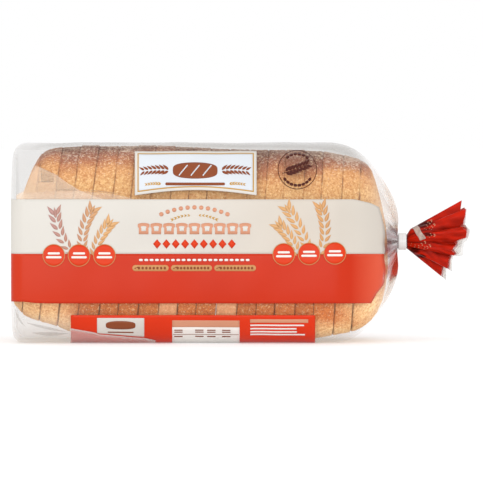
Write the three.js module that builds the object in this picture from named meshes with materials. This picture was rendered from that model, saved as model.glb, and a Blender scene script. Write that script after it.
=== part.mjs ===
// A sliced sourdough loaf packed in a film bag, standing on its base. Millimetres, +Z up.
// X runs from the flat end of the bag to its gathered tail, and the printed front faces -Y.
// The bag is one sealed piece: a boxy body round the loaf, a shoulder that gathers to a neck, and a
// pleated tail that flares out behind the tape.

import * as THREE from "three";

// Driving sizes of the body
const BODY_LENGTH = 256.8;
const BODY_HEIGHT = 132.3;
const BODY_DEPTH = 112;
const END_FILLET = 8.7;
const END_BULGE = 0.6;
const SHOULDER_LENGTH = 45.2;
const TOP_SQUARENESS = 3.4;
const BASE_SQUARENESS = 5;
const BASE_PRESS = 1.3; // how far the round underside is pressed flat by the loaf's weight

// Gathers that run over the shoulder to the neck
const GATHERS = 17;
const GATHER_RELIEF = 2.4;

// Neck and tape
const NECK_RADIUS = 4.75;
const NECK_LENGTH = 6.5;
const TAPE_GAP = 0.35;
const TAPE_WALL = 0.55;
const TAPE_WIDTH = 5.1;
const FLAG_REACH = 11;

// Tail
const TAIL_REACH = 39.5;
const TAIL_LIFT = 5.9; // how much further back the upper edge ends than the lower one, halved
const TAIL_ROUND = 9.1; // how far the rim curves back towards its upper and lower edges
const TAIL_SLOPE_UP = 0.6;
const TAIL_SLOPE_DOWN = 0.84;
const TAIL_SLOPE_SIDE = 0.46;
const TAIL_PLEATS = 10;
const PLEAT_DEPTH = 0.42;
const RIM_WAVE = 1.2;
const TAIL_WALL = 1.5;
const TAIL_FLOOR = 0.3; // how far up the tail the folds are still packed solid

// Mesh steps
const SIDES = 96;
const END_ROWS = 4;
const FILLET_ROWS = 4;
const BODY_ROWS = 6;
const SHOULDER_ROWS = 13;
const TAIL_ROWS = 8;
const INNER_ROWS = 5;

const MID_HEIGHT = BODY_HEIGHT / 2;
const SHOULDER_START = BODY_LENGTH - SHOULDER_LENGTH;
const NECK_END = BODY_LENGTH + NECK_LENGTH;

const smooth = (low, high, value) => THREE.MathUtils.smoothstep(value, low, high);

// Distance from the middle of the body to its skin, in the direction of an angle round the X axis.
function sectionRadius(angle) {
  const across = Math.abs(Math.cos(angle)) / (BODY_DEPTH / 2);
  const up = Math.sin(angle) >= 0;
  const squareness = up ? TOP_SQUARENESS : BASE_SQUARENESS;
  const halfHeight = up ? MID_HEIGHT : MID_HEIGHT + BASE_PRESS;
  const along = Math.abs(Math.sin(angle)) / halfHeight;
  return (across ** squareness + along ** squareness) ** (-1 / squareness);
}

// A point of the body at x, where the section has shrunk to a share of its full size.
function bodyPoint(x, share, angle) {
  const reach = sectionRadius(angle) * share;
  const z = MID_HEIGHT + reach * Math.sin(angle);
  return new THREE.Vector3(x, reach * Math.cos(angle), Math.max(z, 0));
}

// Uneven waves round the neck, from -1 in a fold's valley to 1 on its ridge.
function gatherWave(angle) {
  const drift = 0.35 * Math.sin(2 * angle + 0.7) + 0.22 * Math.sin(5 * angle + 2.1);
  const swing = 0.72 + 0.28 * Math.sin(3 * angle + 1.3);
  return swing * Math.cos(GATHERS * angle + 2 * drift);
}

// Sharper folds of the tail, a ridge pointing straight up.
function pleatWave(angle) {
  const drift = 0.5 * Math.sin(2 * (angle - Math.PI / 2)) + 0.3 * Math.sin(3 * (angle - Math.PI / 2));
  const fold = Math.cos(TAIL_PLEATS * (angle - Math.PI / 2) + drift);
  return (2 / Math.PI) * Math.asin(fold);
}

// The skin of the shoulder: a quarter ellipse swung about the X axis, with the gathers on it.
function shoulderPoint(turn, angle) {
  const share = Math.cos(turn);
  const place = bodyPoint(SHOULDER_START + SHOULDER_LENGTH * Math.sin(turn), share, angle);
  const height = smooth(0.35, 1.1, turn) * (1 - smooth(1.2, 1.48, turn));
  const relief = GATHER_RELIEF * height * gatherWave(angle);
  const radius = sectionRadius(angle);
  const outward = new THREE.Vector3(
    Math.sin(turn) * radius,
    Math.cos(turn) * SHOULDER_LENGTH * Math.cos(angle),
    Math.cos(turn) * SHOULDER_LENGTH * Math.sin(angle),
  ).normalize();
  place.addScaledVector(outward, relief);
  place.z = Math.max(place.z, 0);
  return place;
}

// How steeply the tail flares in the direction of an angle.
function tailSlope(angle) {
  const vertical = Math.sin(angle) >= 0 ? TAIL_SLOPE_UP : TAIL_SLOPE_DOWN;
  return 1 / Math.hypot(Math.sin(angle) / vertical, Math.cos(angle) / TAIL_SLOPE_SIDE);
}

// A point of the tail's film at a share of its length, with the wall taken off for the inside.
function tailPoint(share, angle, wall) {
  const wave = pleatWave(angle);
  const up = Math.sin(angle);
  const reach = TAIL_REACH + TAIL_LIFT * up - TAIL_ROUND * up ** 2 + RIM_WAVE * Math.sin(4 * angle);
  const open = reach * tailSlope(angle) * share;
  const folded = 1 - PLEAT_DEPTH * smooth(0, 0.55, share) * (0.5 - 0.5 * wave);
  const radius = NECK_RADIUS + open * folded - wall;
  const x = NECK_END + reach * share * (0.97 + 0.03 * wave);
  return new THREE.Vector3(x, radius * Math.cos(angle), MID_HEIGHT + radius * Math.sin(angle));
}

const angles = Array.from({ length: SIDES }, (_, i) => (2 * Math.PI * i) / SIDES);
const ring = (point) => angles.map(point);

// Joins rings of points into one closed skin, with a single point closing each end.
function loft(first, rings, last) {
  const vertices = [first, ...rings.flat(), last];
  const positions = new Float32Array(vertices.flatMap((v) => [v.x, v.y, v.z]));
  const at = (row, side) => 1 + row * SIDES + (side % SIDES);
  const faces = [];
  for (let side = 0; side < SIDES; side++) {
    faces.push(0, at(0, side + 1), at(0, side));
    for (let row = 0; row + 1 < rings.length; row++) {
      const corners = [at(row, side), at(row, side + 1), at(row + 1, side + 1), at(row + 1, side)];
      faces.push(corners[0], corners[1], corners[2], corners[0], corners[2], corners[3]);
    }
    const rim = rings.length - 1;
    faces.push(vertices.length - 1, at(rim, side), at(rim, side + 1));
  }
  const geometry = new THREE.BufferGeometry();
  geometry.setAttribute("position", new THREE.BufferAttribute(positions, 3));
  geometry.setIndex(faces);
  geometry.computeVertexNormals();
  return geometry;
}

// Rings of the flat end, from its middle out to where the fillet starts.
function endRings() {
  const rim = 1 - END_FILLET / MID_HEIGHT;
  return Array.from({ length: END_ROWS }, (_, i) => {
    const share = (i + 1) / END_ROWS;
    const x = -END_BULGE * (1 - share ** 2);
    return ring((angle) => bodyPoint(x, rim * share, angle));
  });
}

// Rings of the fillet that turns the flat end into the sides.
function filletRings() {
  return Array.from({ length: FILLET_ROWS }, (_, i) => {
    const turn = ((i + 1) / FILLET_ROWS) * (Math.PI / 2);
    const x = END_FILLET * (1 - Math.cos(turn));
    const share = 1 - (END_FILLET * (1 - Math.sin(turn))) / MID_HEIGHT;
    return ring((angle) => bodyPoint(x, share, angle));
  });
}

function sideRings() {
  return Array.from({ length: BODY_ROWS }, (_, i) => {
    const x = THREE.MathUtils.lerp(END_FILLET, SHOULDER_START, (i + 1) / BODY_ROWS);
    return ring((angle) => bodyPoint(x, 1, angle));
  });
}

// Rings of the shoulder, ending on the neck's own circle.
function shoulderRings() {
  const last = Math.acos(NECK_RADIUS / MID_HEIGHT);
  const rings = Array.from({ length: SHOULDER_ROWS - 1 }, (_, i) => {
    const turn = last * ((i + 1) / SHOULDER_ROWS);
    return ring((angle) => shoulderPoint(turn, angle));
  });
  return [...rings, neckRing(BODY_LENGTH)];
}

function neckRing(x) {
  return ring(
    (angle) =>
      new THREE.Vector3(
        x,
        NECK_RADIUS * Math.cos(angle),
        MID_HEIGHT + NECK_RADIUS * Math.sin(angle),
      ),
  );
}

function tailRings() {
  const outer = Array.from({ length: TAIL_ROWS }, (_, i) =>
    ring((angle) => tailPoint((i + 1) / TAIL_ROWS, angle, 0)),
  );
  const inner = Array.from({ length: INNER_ROWS }, (_, i) => {
    const share = THREE.MathUtils.lerp(1, TAIL_FLOOR, i / (INNER_ROWS - 1));
    return ring((angle) => tailPoint(share, angle, TAIL_WALL));
  });
  return [...outer, ...inner];
}

function bag() {
  const rings = [
    ...endRings(),
    ...filletRings(),
    ...sideRings(),
    ...shoulderRings(),
    neckRing(NECK_END),
    ...tailRings(),
  ];
  const endMiddle = new THREE.Vector3(-END_BULGE, 0, MID_HEIGHT);
  const tailMiddle = new THREE.Vector3(NECK_END + TAIL_FLOOR * TAIL_REACH, 0, MID_HEIGHT);
  const film = new THREE.MeshStandardMaterial({ color: "#ece8e2", roughness: 0.35, metalness: 0 });
  const mesh = new THREE.Mesh(loft(endMiddle, rings, tailMiddle), film);
  mesh.name = "bag";
  return mesh;
}

// A strip of tape wound once round the neck, its two ends stuck face to face as a flag at the back.
function neckTape() {
  const inside = NECK_RADIUS + TAPE_GAP;
  const outside = inside + TAPE_WALL;
  const halfFlag = Math.asin(TAPE_WALL / outside);
  const outline = new THREE.Shape();
  outline.absarc(0, 0, outside, halfFlag, 2 * Math.PI - halfFlag, false);
  outline.lineTo(outside + FLAG_REACH, -TAPE_WALL);
  outline.lineTo(outside + FLAG_REACH, TAPE_WALL);
  const hole = new THREE.Path();
  hole.absarc(0, 0, inside, 0, 2 * Math.PI, true);
  outline.holes.push(hole);
  const strip = new THREE.ExtrudeGeometry(outline, {
    depth: TAPE_WIDTH,
    bevelEnabled: false,
    curveSegments: 48,
  });
  const tape = new THREE.MeshStandardMaterial({ color: "#ebe9e8", roughness: 0.3, metalness: 0 });
  const mesh = new THREE.Mesh(strip, tape);
  mesh.name = "neck_tape";
  // The strip is drawn in XY and wound about Z: a third of a turn brings Z onto X and X onto Y.
  mesh.quaternion.set(0.5, 0.5, 0.5, 0.5);
  mesh.position.set(BODY_LENGTH + (NECK_LENGTH - TAPE_WIDTH) / 2, 0, MID_HEIGHT);
  return mesh;
}

const pack = new THREE.Group();
pack.add(bag(), neckTape());

// The frame's origin is below the middle of the whole pack, on the surface it stands on.
const extent = new THREE.Box3().setFromObject(pack, true);
pack.position.x = -(extent.min.x + extent.max.x) / 2;

export default pack;
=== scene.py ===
# A sliced sourdough loaf in a printed film bag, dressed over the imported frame.
# The frame is in metres. Here lengths are worked out in millimetres from the flat end of the bag,
# with x along the pack, y from front to back and z up, and are turned to metres as a mesh is made.

import functools
import math

import bmesh
import bpy
from bpy.props import FloatProperty, FloatVectorProperty, IntProperty, PointerProperty
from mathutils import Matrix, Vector


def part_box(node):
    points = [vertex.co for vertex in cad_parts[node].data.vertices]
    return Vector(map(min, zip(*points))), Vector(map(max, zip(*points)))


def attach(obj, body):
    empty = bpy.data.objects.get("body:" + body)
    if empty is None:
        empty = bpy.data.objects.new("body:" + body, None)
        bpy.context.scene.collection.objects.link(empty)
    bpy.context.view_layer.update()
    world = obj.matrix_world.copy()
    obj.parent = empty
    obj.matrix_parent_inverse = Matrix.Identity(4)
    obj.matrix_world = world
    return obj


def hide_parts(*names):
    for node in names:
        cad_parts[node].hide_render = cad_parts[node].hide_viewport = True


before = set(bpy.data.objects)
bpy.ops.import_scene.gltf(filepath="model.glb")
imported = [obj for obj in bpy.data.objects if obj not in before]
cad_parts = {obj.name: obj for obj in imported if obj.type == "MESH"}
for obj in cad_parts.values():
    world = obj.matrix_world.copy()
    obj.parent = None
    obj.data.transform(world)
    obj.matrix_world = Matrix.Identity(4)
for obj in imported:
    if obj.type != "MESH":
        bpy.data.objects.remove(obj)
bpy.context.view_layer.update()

bl_info = {
    "name": "Sliced loaf in a bread bag",
    "version": (1, 0, 0),
    "blender": (4, 5, 0),
    "location": "View3D > Sidebar > Bread bag",
    "description": "Makes a sliced sourdough loaf inside a printed film bag with a gathered tail",
    "category": "Add Mesh",
}

MM = 0.001

# The bag's own sizes, as its solid has them
BODY_LENGTH = 256.8
BODY_HEIGHT = 132.3
BODY_DEPTH = 112
END_FILLET = 8.7
END_BULGE = 0.6
SHOULDER_LENGTH = 45.2
TOP_SQUARENESS = 3.4
BASE_SQUARENESS = 5
BASE_PRESS = 1.3
GATHERS = 17
GATHER_RELIEF = 2.4
NECK_RADIUS = 4.75
NECK_LENGTH = 6.5
TAIL_SLOPE_UP = 0.6
TAIL_SLOPE_DOWN = 0.84
TAIL_SLOPE_SIDE = 0.46
TAIL_PLEATS = 10
PLEAT_DEPTH = 0.42
# How far the tail's rim is from the neck, as stations of (degrees from the upper edge, mm)
TAIL_RIM = (
    (0, 36.6), (20, 37.8), (35, 39.6), (60, 41.3), (85, 41.2), (105, 37.4), (115, 36), (135, 30.8), (180, 26),
)

MID_HEIGHT = BODY_HEIGHT / 2
SHOULDER_START = BODY_LENGTH - SHOULDER_LENGTH
NECK_END = BODY_LENGTH + NECK_LENGTH
END_RIM = 1 - END_FILLET / MID_HEIGHT
FLAT_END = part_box("bag")[0].x + END_BULGE * MM
FILM_BASE = 0.3  # the film's underside, clear of the floor by the print under it
PRINT_TURN = 252  # a place along the front and the same one of the print on the back add up to this

# The view that the photograph has: where it looks, from how far and how high, and how wide it sees
VIEW_MIDDLE = Vector((152.5, 0, MID_HEIGHT))
VIEW_DISTANCE = 4500
VIEW_RISE = math.radians(2)
VIEW_WIDTH = 323.2

# The loaf's outline from the side, as heights at stations along its middle line
LOAF_START = 0.8
LOAF_END = 250
LOAF_TOP = (
    (0.8, 68), (1.2, 84), (2.6, 91), (5.2, 97.5), (8.2, 112), (10.1, 119.6), (13.2, 126.2),
    (20, 128.8), (50, 130), (90, 129.9), (152, 127.4), (180, 127.1), (204, 126.3), (214, 124.4),
    (224, 122.2), (231, 119.4), (236.4, 115), (241.4, 105), (245.8, 91.5), (248.8, 78), (250, 64),
)
LOAF_BASE = (
    (0.8, 24.6), (3, 23), (9.7, 20.3), (17.3, 16.3), (24, 14), (36, 10.6), (46, 6.7), (60, 3), (78, 0.9),
    (186, 0.9), (205, 2.2), (218, 4.5), (229, 6.6), (235, 9), (240, 13.6), (244, 20),
    (247.5, 30), (250, 46),
)
LOAF_HALF_WIDTH = (
    (0.8, 22), (2.5, 31), (5, 38), (9, 45), (14, 49.5), (22, 52), (40, 52.8), (205, 52.8),
    (218, 51), (228, 47.6), (236, 42), (242, 36), (247, 27), (250, 14),
)

# Seeds of what is left to chance
SLICES_SEED = 1061
FLOUR_SEED = 9


def linear(code):
    """An sRGB hex colour as linear red, green, blue and one. A colour that is linear stays as it is."""
    if not isinstance(code, str):
        return list(code)
    parts = [int(code[i : i + 2], 16) / 255 for i in (1, 3, 5)]
    return [p / 12.92 if p <= 0.04045 else ((p + 0.055) / 1.055) ** 2.4 for p in parts] + [1.0]


def smooth(low, high, value):
    """0 below low, 1 above high and an even curve between, as smoothstep gives it."""
    t = min(max((value - low) / (high - low), 0), 1)
    return t * t * (3 - 2 * t)


def lerp(a, b, t):
    return a + (b - a) * t


def along(stations, place):
    """The value at a place on a line through stations of (place, value)."""
    for (x0, y0), (x1, y1) in zip(stations, stations[1:]):
        if place <= x1:
            return lerp(y0, y1, max(place - x0, 0) / (x1 - x0))
    return stations[-1][1]


# The shape of the film


def squareness(up):
    return TOP_SQUARENESS if up else BASE_SQUARENESS


def half_height(up):
    return MID_HEIGHT if up else MID_HEIGHT + BASE_PRESS


def section_radius(angle):
    up = math.sin(angle) >= 0
    power = squareness(up)
    across = abs(math.cos(angle)) / (BODY_DEPTH / 2)
    rise = abs(math.sin(angle)) / half_height(up)
    return (across**power + rise**power) ** (-1 / power)


def fillet_share(turn):
    """How large the section is on the flat end's fillet, a turn up from the end's face."""
    return 1 - END_FILLET * (1 - math.sin(turn)) / MID_HEIGHT


def share_at(x):
    """How large the body's section is at x, as a share of the full one."""
    if x < 0:
        return END_RIM * math.sqrt(max(1 + x / END_BULGE, 0))
    if x < END_FILLET:
        return fillet_share(math.acos(1 - x / END_FILLET))
    if x <= SHOULDER_START:
        return 1
    return math.cos(math.asin(min((x - SHOULDER_START) / SHOULDER_LENGTH, 1)))


def end_at(share):
    """The x of the flat end or its fillet where the section has this share."""
    if share <= END_RIM:
        return -END_BULGE * (1 - (share / END_RIM) ** 2)
    sine = 1 - (1 - share) * MID_HEIGHT / END_FILLET
    return END_FILLET * (1 - math.sqrt(max(1 - sine * sine, 0)))


def level(y, z):
    """Which share of the section passes through y and z."""
    up = z >= MID_HEIGHT
    power = squareness(up)
    across = abs(y) / (BODY_DEPTH / 2)
    rise = abs(z - MID_HEIGHT) / half_height(up)
    return (across**power + rise**power) ** (1 / power)


def side_reach(share, z):
    """How far the section of this share reaches to the front or back at height z."""
    up = z >= MID_HEIGHT
    power = squareness(up)
    rise = abs(z - MID_HEIGHT) / (half_height(up) * share)
    return BODY_DEPTH / 2 * share * max(1 - rise**power, 0) ** (1 / power)


def gather_wave(angle):
    drift = 0.35 * math.sin(2 * angle + 0.7) + 0.22 * math.sin(5 * angle + 2.1)
    swing = 0.72 + 0.28 * math.sin(3 * angle + 1.3)
    return swing * math.cos(GATHERS * angle + 2 * drift)


def film_relief(x, angle):
    """How far the film stands off its plain shape: gathers on the shoulder and slack on the body."""
    turn = math.asin(min(max((x - SHOULDER_START) / SHOULDER_LENGTH, 0), 1))
    height = smooth(0.75, 1.25, turn) * (1 - smooth(1.25, 1.5, turn))
    gathers = GATHER_RELIEF * height * gather_wave(angle)
    slack = 0.3 * math.sin(x / 13 + 2.2 * math.sin(2 * angle + 0.4)) * math.sin(3 * angle + x / 41)
    slack += 0.12 * math.sin(x / 4.3 + 5 * angle) * math.sin(x / 27 - 2 * angle)
    near_end = smooth(0, 20, x) * (1 - smooth(238, 252, x))
    return gathers + slack * near_end


def film_normal(x, y, z):
    step = 0.02
    slope = (share_at(x + step) - share_at(x - step)) / (2 * step)
    across = (level(y + step, z) - level(y - step, z)) / (2 * step)
    rise = (level(y, z + step) - level(y, z - step)) / (2 * step)
    return Vector((-slope, across, rise)).normalized()


def on_skin(x, y, z, lift=0.0):
    """The film's point over a point of the plain body, lifted off it along its normal."""
    angle = math.atan2(z - MID_HEIGHT, y)
    normal = film_normal(x, y, z)
    place = Vector((x, y, z)) + normal * (film_relief(x, angle) + lift)
    place.z = max(place.z, FILM_BASE - lift)
    return place


def view_ray(u, v):
    """The camera's place and the point it sees at u along and v up, in the plane of its target."""
    away = Vector((0, math.cos(VIEW_RISE), -math.sin(VIEW_RISE)))
    upward = Vector((0, math.sin(VIEW_RISE), math.cos(VIEW_RISE)))
    eye = VIEW_MIDDLE - away * VIEW_DISTANCE
    seen = VIEW_MIDDLE + Vector((u - VIEW_MIDDLE.x, 0, 0)) + upward * (v - VIEW_MIDDLE.z)
    return eye, seen


def on_front(u, v, lift=0.0):
    """The point of the front film that the view shows at u along and v up."""
    eye, seen = view_ray(u, v)
    y = -BODY_DEPTH / 2
    for _ in range(6):
        place = eye.lerp(seen, (y - eye.y) / (seen.y - eye.y))
        x = min(max(place.x, 0.02), BODY_LENGTH - 0.5)
        y = -side_reach(share_at(x), place.z)
    return on_skin(x, y, place.z, lift)


def on_back(u, v, lift=0.0):
    """The point of the back film that the print has at u along and v up, as the front turned half round."""
    z = on_front(u, v).z
    x = PRINT_TURN - u
    return on_skin(x, side_reach(share_at(x), z), z, lift)


# Print that is on the back as well
BOTH_SIDES = (on_front, on_back)


def view_along(x, y, z):
    """How far along the view shows a point, the reverse of what on_front takes."""
    eye = view_ray(VIEW_MIDDLE.x, VIEW_MIDDLE.z)[0]
    depth = (Vector((x, y, z)) - eye).dot((VIEW_MIDDLE - eye).normalized())
    return VIEW_MIDDLE.x + (x - VIEW_MIDDLE.x) * VIEW_DISTANCE / depth


def on_base(u, turn, lift=0.0):
    """The film's point at u along the view and a turn in degrees round the section, under the front."""
    angle = math.radians(turn)
    reach = section_radius(angle)
    y, z = reach * math.cos(angle), MID_HEIGHT + reach * math.sin(angle)
    x = VIEW_MIDDLE.x + (u - VIEW_MIDDLE.x) * (VIEW_DISTANCE + y) / VIEW_DISTANCE
    share = share_at(x)
    return on_skin(x, y * share, MID_HEIGHT + (z - MID_HEIGHT) * share, lift)


def turn_at(v):
    """The turn round the section, in degrees, where the view shows height v on the front."""
    place = on_front(120, v)
    return math.degrees(math.atan2(place.z - MID_HEIGHT, place.y))


def on_slope(u, v, lift=0.0):
    """The front film's point low down, where the view shows it steeply."""
    return on_base(u, turn_at(v) if v > 0.6 else turn_at(0.6) + 5 * (0.6 - v), lift)


def film_point(x, share, angle):
    reach = section_radius(angle) * share
    y = reach * math.cos(angle)
    z = MID_HEIGHT + reach * math.sin(angle)
    return on_skin(x, y, z)


def pleat_wave(angle):
    start = angle - math.pi / 2
    drift = 0.5 * math.sin(2 * start) + 0.3 * math.sin(3 * start)
    return (2 / math.pi) * math.asin(math.cos(TAIL_PLEATS * start + drift))


def tail_slope(angle):
    vertical = TAIL_SLOPE_UP if math.sin(angle) >= 0 else TAIL_SLOPE_DOWN
    return 1 / math.hypot(math.sin(angle) / vertical, math.cos(angle) / TAIL_SLOPE_SIDE)


def from_top(angle):
    """A direction round the tail as degrees from its upper edge."""
    return math.degrees(abs(math.remainder(angle - math.pi / 2, 2 * math.pi)))


def tail_point(share, angle, lift=0.0):
    """A point of the tail, share of the way from the neck to the rim."""
    wave = pleat_wave(angle)
    side = abs(math.cos(angle))
    reach = along(TAIL_RIM, from_top(angle))
    rise = math.sin(angle)
    open_ = reach * tail_slope(angle) * share * (1 + 0.04 * (1 - side) * math.copysign(1, rise))
    folded = 1 - PLEAT_DEPTH * smooth(0, 0.55, share) * (0.5 - 0.5 * wave)
    crease = 0.03 * math.sin(23 * angle + 7 * share) + 0.014 * math.sin(41 * angle - 11 * share)
    folded *= 1 + crease * side * smooth(0.05, 0.5, share)
    bulge = 2.4 * smooth(0, 0.06, share) * (1 - share) * max(rise, 0)
    radius = NECK_RADIUS + open_ * folded + bulge + lift
    x = NECK_END + reach * share * (0.97 + 0.03 * wave)
    return Vector((x, radius * math.cos(angle), MID_HEIGHT + radius * math.sin(angle)))


# Small helpers for nodes, materials and meshes


# Kinds of node that recur. Their inputs are named, or numbered where names repeat: a range takes its
# value, where it comes from and where it goes as 0 to 4, and a mix its share as 0, then numbers as 2
# and 3 or colours as 6 and 7.
MATH = "ShaderNodeMath"
RANGE = "ShaderNodeMapRange"
MIX = "ShaderNodeMix"
NOISE = "ShaderNodeTexNoise"
SPLIT = "ShaderNodeSeparateXYZ"
JOIN = "ShaderNodeCombineXYZ"
SCALE = "ShaderNodeVectorMath"
WHERE = "ShaderNodeTexCoord"
MARK = "ShaderNodeAttribute"
RAMP = "ShaderNodeValToRGB"
CURVE = "ShaderNodeFloatCurve"
DEEPEN = "ShaderNodeHueSaturation"
BUMP = "ShaderNodeBump"
RANDOM = "FunctionNodeRandomValue"
STORED = "GeometryNodeInputNamedAttribute"
STORE = "GeometryNodeStoreNamedAttribute"
MOVE = "GeometryNodeSetPosition"
FINISH = "GeometryNodeSetMaterial"


def add_node(tree, kind, inputs=None, stops=(), **settings):
    """Adds a node with its settings and links. A node given as an input is linked by its first output in
    use. Stops are a colour ramp's places and colours, or a float curve's places and values."""
    node = tree.nodes.new(kind)
    for name, value in settings.items():
        setattr(node, name, value)
    for key, value in (inputs or {}).items():
        if isinstance(value, bpy.types.Node):
            value = next(socket for socket in value.outputs if socket.enabled)
        if isinstance(value, bpy.types.NodeSocket):
            tree.links.new(value, node.inputs[key])
        else:
            node.inputs[key].default_value = value
    if kind == RAMP:
        elements = node.color_ramp.elements
        while len(elements) < len(stops):
            elements.new(0.5)
        for element, (place, code) in zip(elements, stops):
            element.position = place
            element.color = linear(code)
    if kind == CURVE:
        points = node.mapping.curves[0].points
        for index, (place, value) in enumerate(stops):
            if index < 2:
                points[index].location = (place, value)
            else:
                points.new(place, value)
        for point in points:
            point.handle_type = "AUTO_CLAMPED"
        node.mapping.update()
    return node


def new_material(name):
    """A material with an empty tree, and the function that adds nodes to that tree."""
    material = bpy.data.materials.new(name)
    material.use_nodes = True
    material.node_tree.nodes.clear()
    return material, functools.partial(add_node, material.node_tree)


def close_material(add, **shader):
    """Ends a material's tree in one Principled shader with these inputs."""
    inputs = {name.replace("_", " "): value for name, value in shader.items()}
    add("ShaderNodeOutputMaterial", {"Surface": add("ShaderNodeBsdfPrincipled", inputs)})


def to_metres(place):
    return Vector((FLAT_END + place[0] * MM, place[1] * MM, place[2] * MM))


def new_object(name, data):
    """An object at the origin, in the scene."""
    item = bpy.data.objects.new(name, data)
    bpy.context.scene.collection.objects.link(item)
    return item


def mark_points(mesh, label, values):
    """A number at each point of a mesh, for its material to read."""
    mesh.attributes.new(label, "FLOAT", "POINT").data.foreach_set("value", values)


def make_mesh(name, points, faces, material):
    """An object at the origin from points in millimetres, shaded smooth, with doubles merged."""
    mesh = bpy.data.meshes.new(name)
    mesh.from_pydata([to_metres(p) for p in points], [], faces)
    mesh.materials.append(material)
    work = bmesh.new()
    work.from_mesh(mesh)
    bmesh.ops.remove_doubles(work, verts=work.verts, dist=1e-7)
    for face in work.faces:
        face.smooth = True
    work.to_mesh(mesh)
    work.free()
    return new_object(name, mesh)


def add_wall(piece, thickness, offset):
    """Gives a sheet a wall of some millimetres, so that it is a closed thin solid."""
    wall = piece.modifiers.new("wall", "SOLIDIFY")
    wall.thickness = thickness * MM
    wall.offset = offset
    return piece


def finish_piece(piece, slot, *nodes):
    """Hangs a piece on the frame's root, and hides the nodes that it stands for. Its slot is not used."""
    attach(piece, "root")
    if nodes:
        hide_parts(*nodes)
    return piece


def grid_faces(rows, columns, loop=False):
    """Quads over rows of points, closed into a tube if loop."""
    faces = []
    span = columns if loop else columns - 1
    for r in range(rows - 1):
        for c in range(span):
            d = (c + 1) % columns
            faces.append((r * columns + c, r * columns + d, (r + 1) * columns + d, (r + 1) * columns + c))
    return faces


# Flat print, laid out in the view's own plane and then wrapped on the film


class Print:
    """Flat shapes of one colour, as points of (u, v) with faces between them."""

    def __init__(self):
        self.points = []
        self.faces = []

    def add(self, points, faces):
        first = len(self.points)
        self.points.extend(points)
        self.faces.extend([tuple(first + i for i in face) for face in faces])

    def strip(self, middles, halves, rows=3):
        """A strip along middle points, reaching a half vector to each side of them."""
        points = []
        for (u, v), (du, dv) in zip(middles, halves):
            for r in range(rows):
                k = 1 - 2 * r / (rows - 1)
                points.append((u + k * du, v + k * dv))
        self.add(points, grid_faces(len(middles), rows))

    def disc(self, u, v, radius):
        turns = [math.pi * i / 20 for i in range(21)]
        middles = [(u - radius * math.cos(t), v) for t in turns]
        self.strip(middles, [(0, radius * math.sin(t)) for t in turns], 9)

    def ring(self, u, v, radius, width):
        turns = [lerp(0, 2 * math.pi, i / 48) for i in range(49)]
        middles = [(u + radius * math.cos(t), v + radius * math.sin(t)) for t in turns]
        halves = [(-width / 2 * math.cos(t), -width / 2 * math.sin(t)) for t in turns]
        self.strip(middles, halves, 2)

    def bar(self, u0, u1, v, height):
        """A bar with round ends."""
        half = height / 2
        ends = [half * (1 - math.cos(math.radians(a))) for a in (0, 25, 50, 70, 90)]
        places = [u0 + e for e in ends]
        places += [lerp(u0 + half, u1 - half, i / 6) for i in range(1, 6)]
        places += [u1 - e for e in reversed(ends)]
        halves = []
        for u in places:
            inset = max(half - min(u - u0, u1 - u), 0)
            halves.append((0, math.sqrt(max(half**2 - inset**2, 0))))
        self.strip([(u, v) for u in places], halves)

    def panel(self, u0, u1, low, high, columns, rows):
        """A panel between two edges, each a height or a function of u."""
        low_at = low if callable(low) else lambda u: low
        high_at = high if callable(high) else lambda u: high
        places = [lerp(u0, u1, i / columns) for i in range(columns + 1)]
        middles = [(u, (low_at(u) + high_at(u)) / 2) for u in places]
        self.strip(middles, [(0, (high_at(u) - low_at(u)) / 2) for u in places], rows + 1)

    def stamps(self, stamp, path, count, sizes=(1, 1), turn=0.0, side=0.0):
        """Copies of a flat stamp along a path, made by the stamps tree."""
        self.add(*stamps_on_path(stamp, path, count, sizes, turn, side))

    def wrap(self, name, material, slot, lift, placings=(on_front,), wall=0.05):
        """The print as a thin piece on the film, lifted some millimetres off it, once for each placing."""
        points = [place(u, v, lift) for place in placings for u, v in self.points]
        starts = [turn * len(self.points) for turn in range(len(placings))]
        faces = [tuple(start + i for i in face) for start in starts for face in self.faces]
        piece = make_mesh(name, points, faces, material)
        return finish_piece(add_wall(piece, wall, 1), slot)


def leaf_stamp(length, width):
    """A grain husk that points along u, pointed at its tip and round at its foot."""
    turns = [i / 10 for i in range(11)]
    leaf = Print()
    middles = [(length * (t - 0.02), 0.03 * math.sin(3 * t)) for t in turns]
    halves = [(0, width / 2 * math.sin(math.pi * t**0.75) * (1 - 0.25 * t)) for t in turns]
    leaf.strip(middles, halves)
    return leaf


def slice_stamp(size):
    """A slice of bread seen from its cut side: a square body under a wider domed top."""
    stamp = Print()
    places = (-0.5, -0.47, -0.41, -0.405, -0.2, 0, 0.2, 0.405, 0.41, 0.47, 0.5)
    middles, halves = [], []
    for u in places:
        top = 0.34 + 0.14 * math.sqrt(max(1 - (u / 0.5) ** 2, 0))
        low = 0.06 + 0.08 * smooth(0.42, 0.5, abs(u)) if abs(u) > 0.408 else -0.48
        middles.append((u * size, (top + low) / 2 * size))
        halves.append((0, (top - low) / 2 * size))
    stamp.strip(middles, halves, 4)
    return stamp


def lozenge_stamp(length, height):
    stamp = Print()
    stamp.strip([(-length / 2, 0), (0, 0), (length / 2, 0)], [(0, 0), (0, height / 2), (0, 0)])
    return stamp


def bar_stamp(length, height):
    stamp = Print()
    stamp.bar(-length / 2, length / 2, 0, height)
    return stamp


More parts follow.
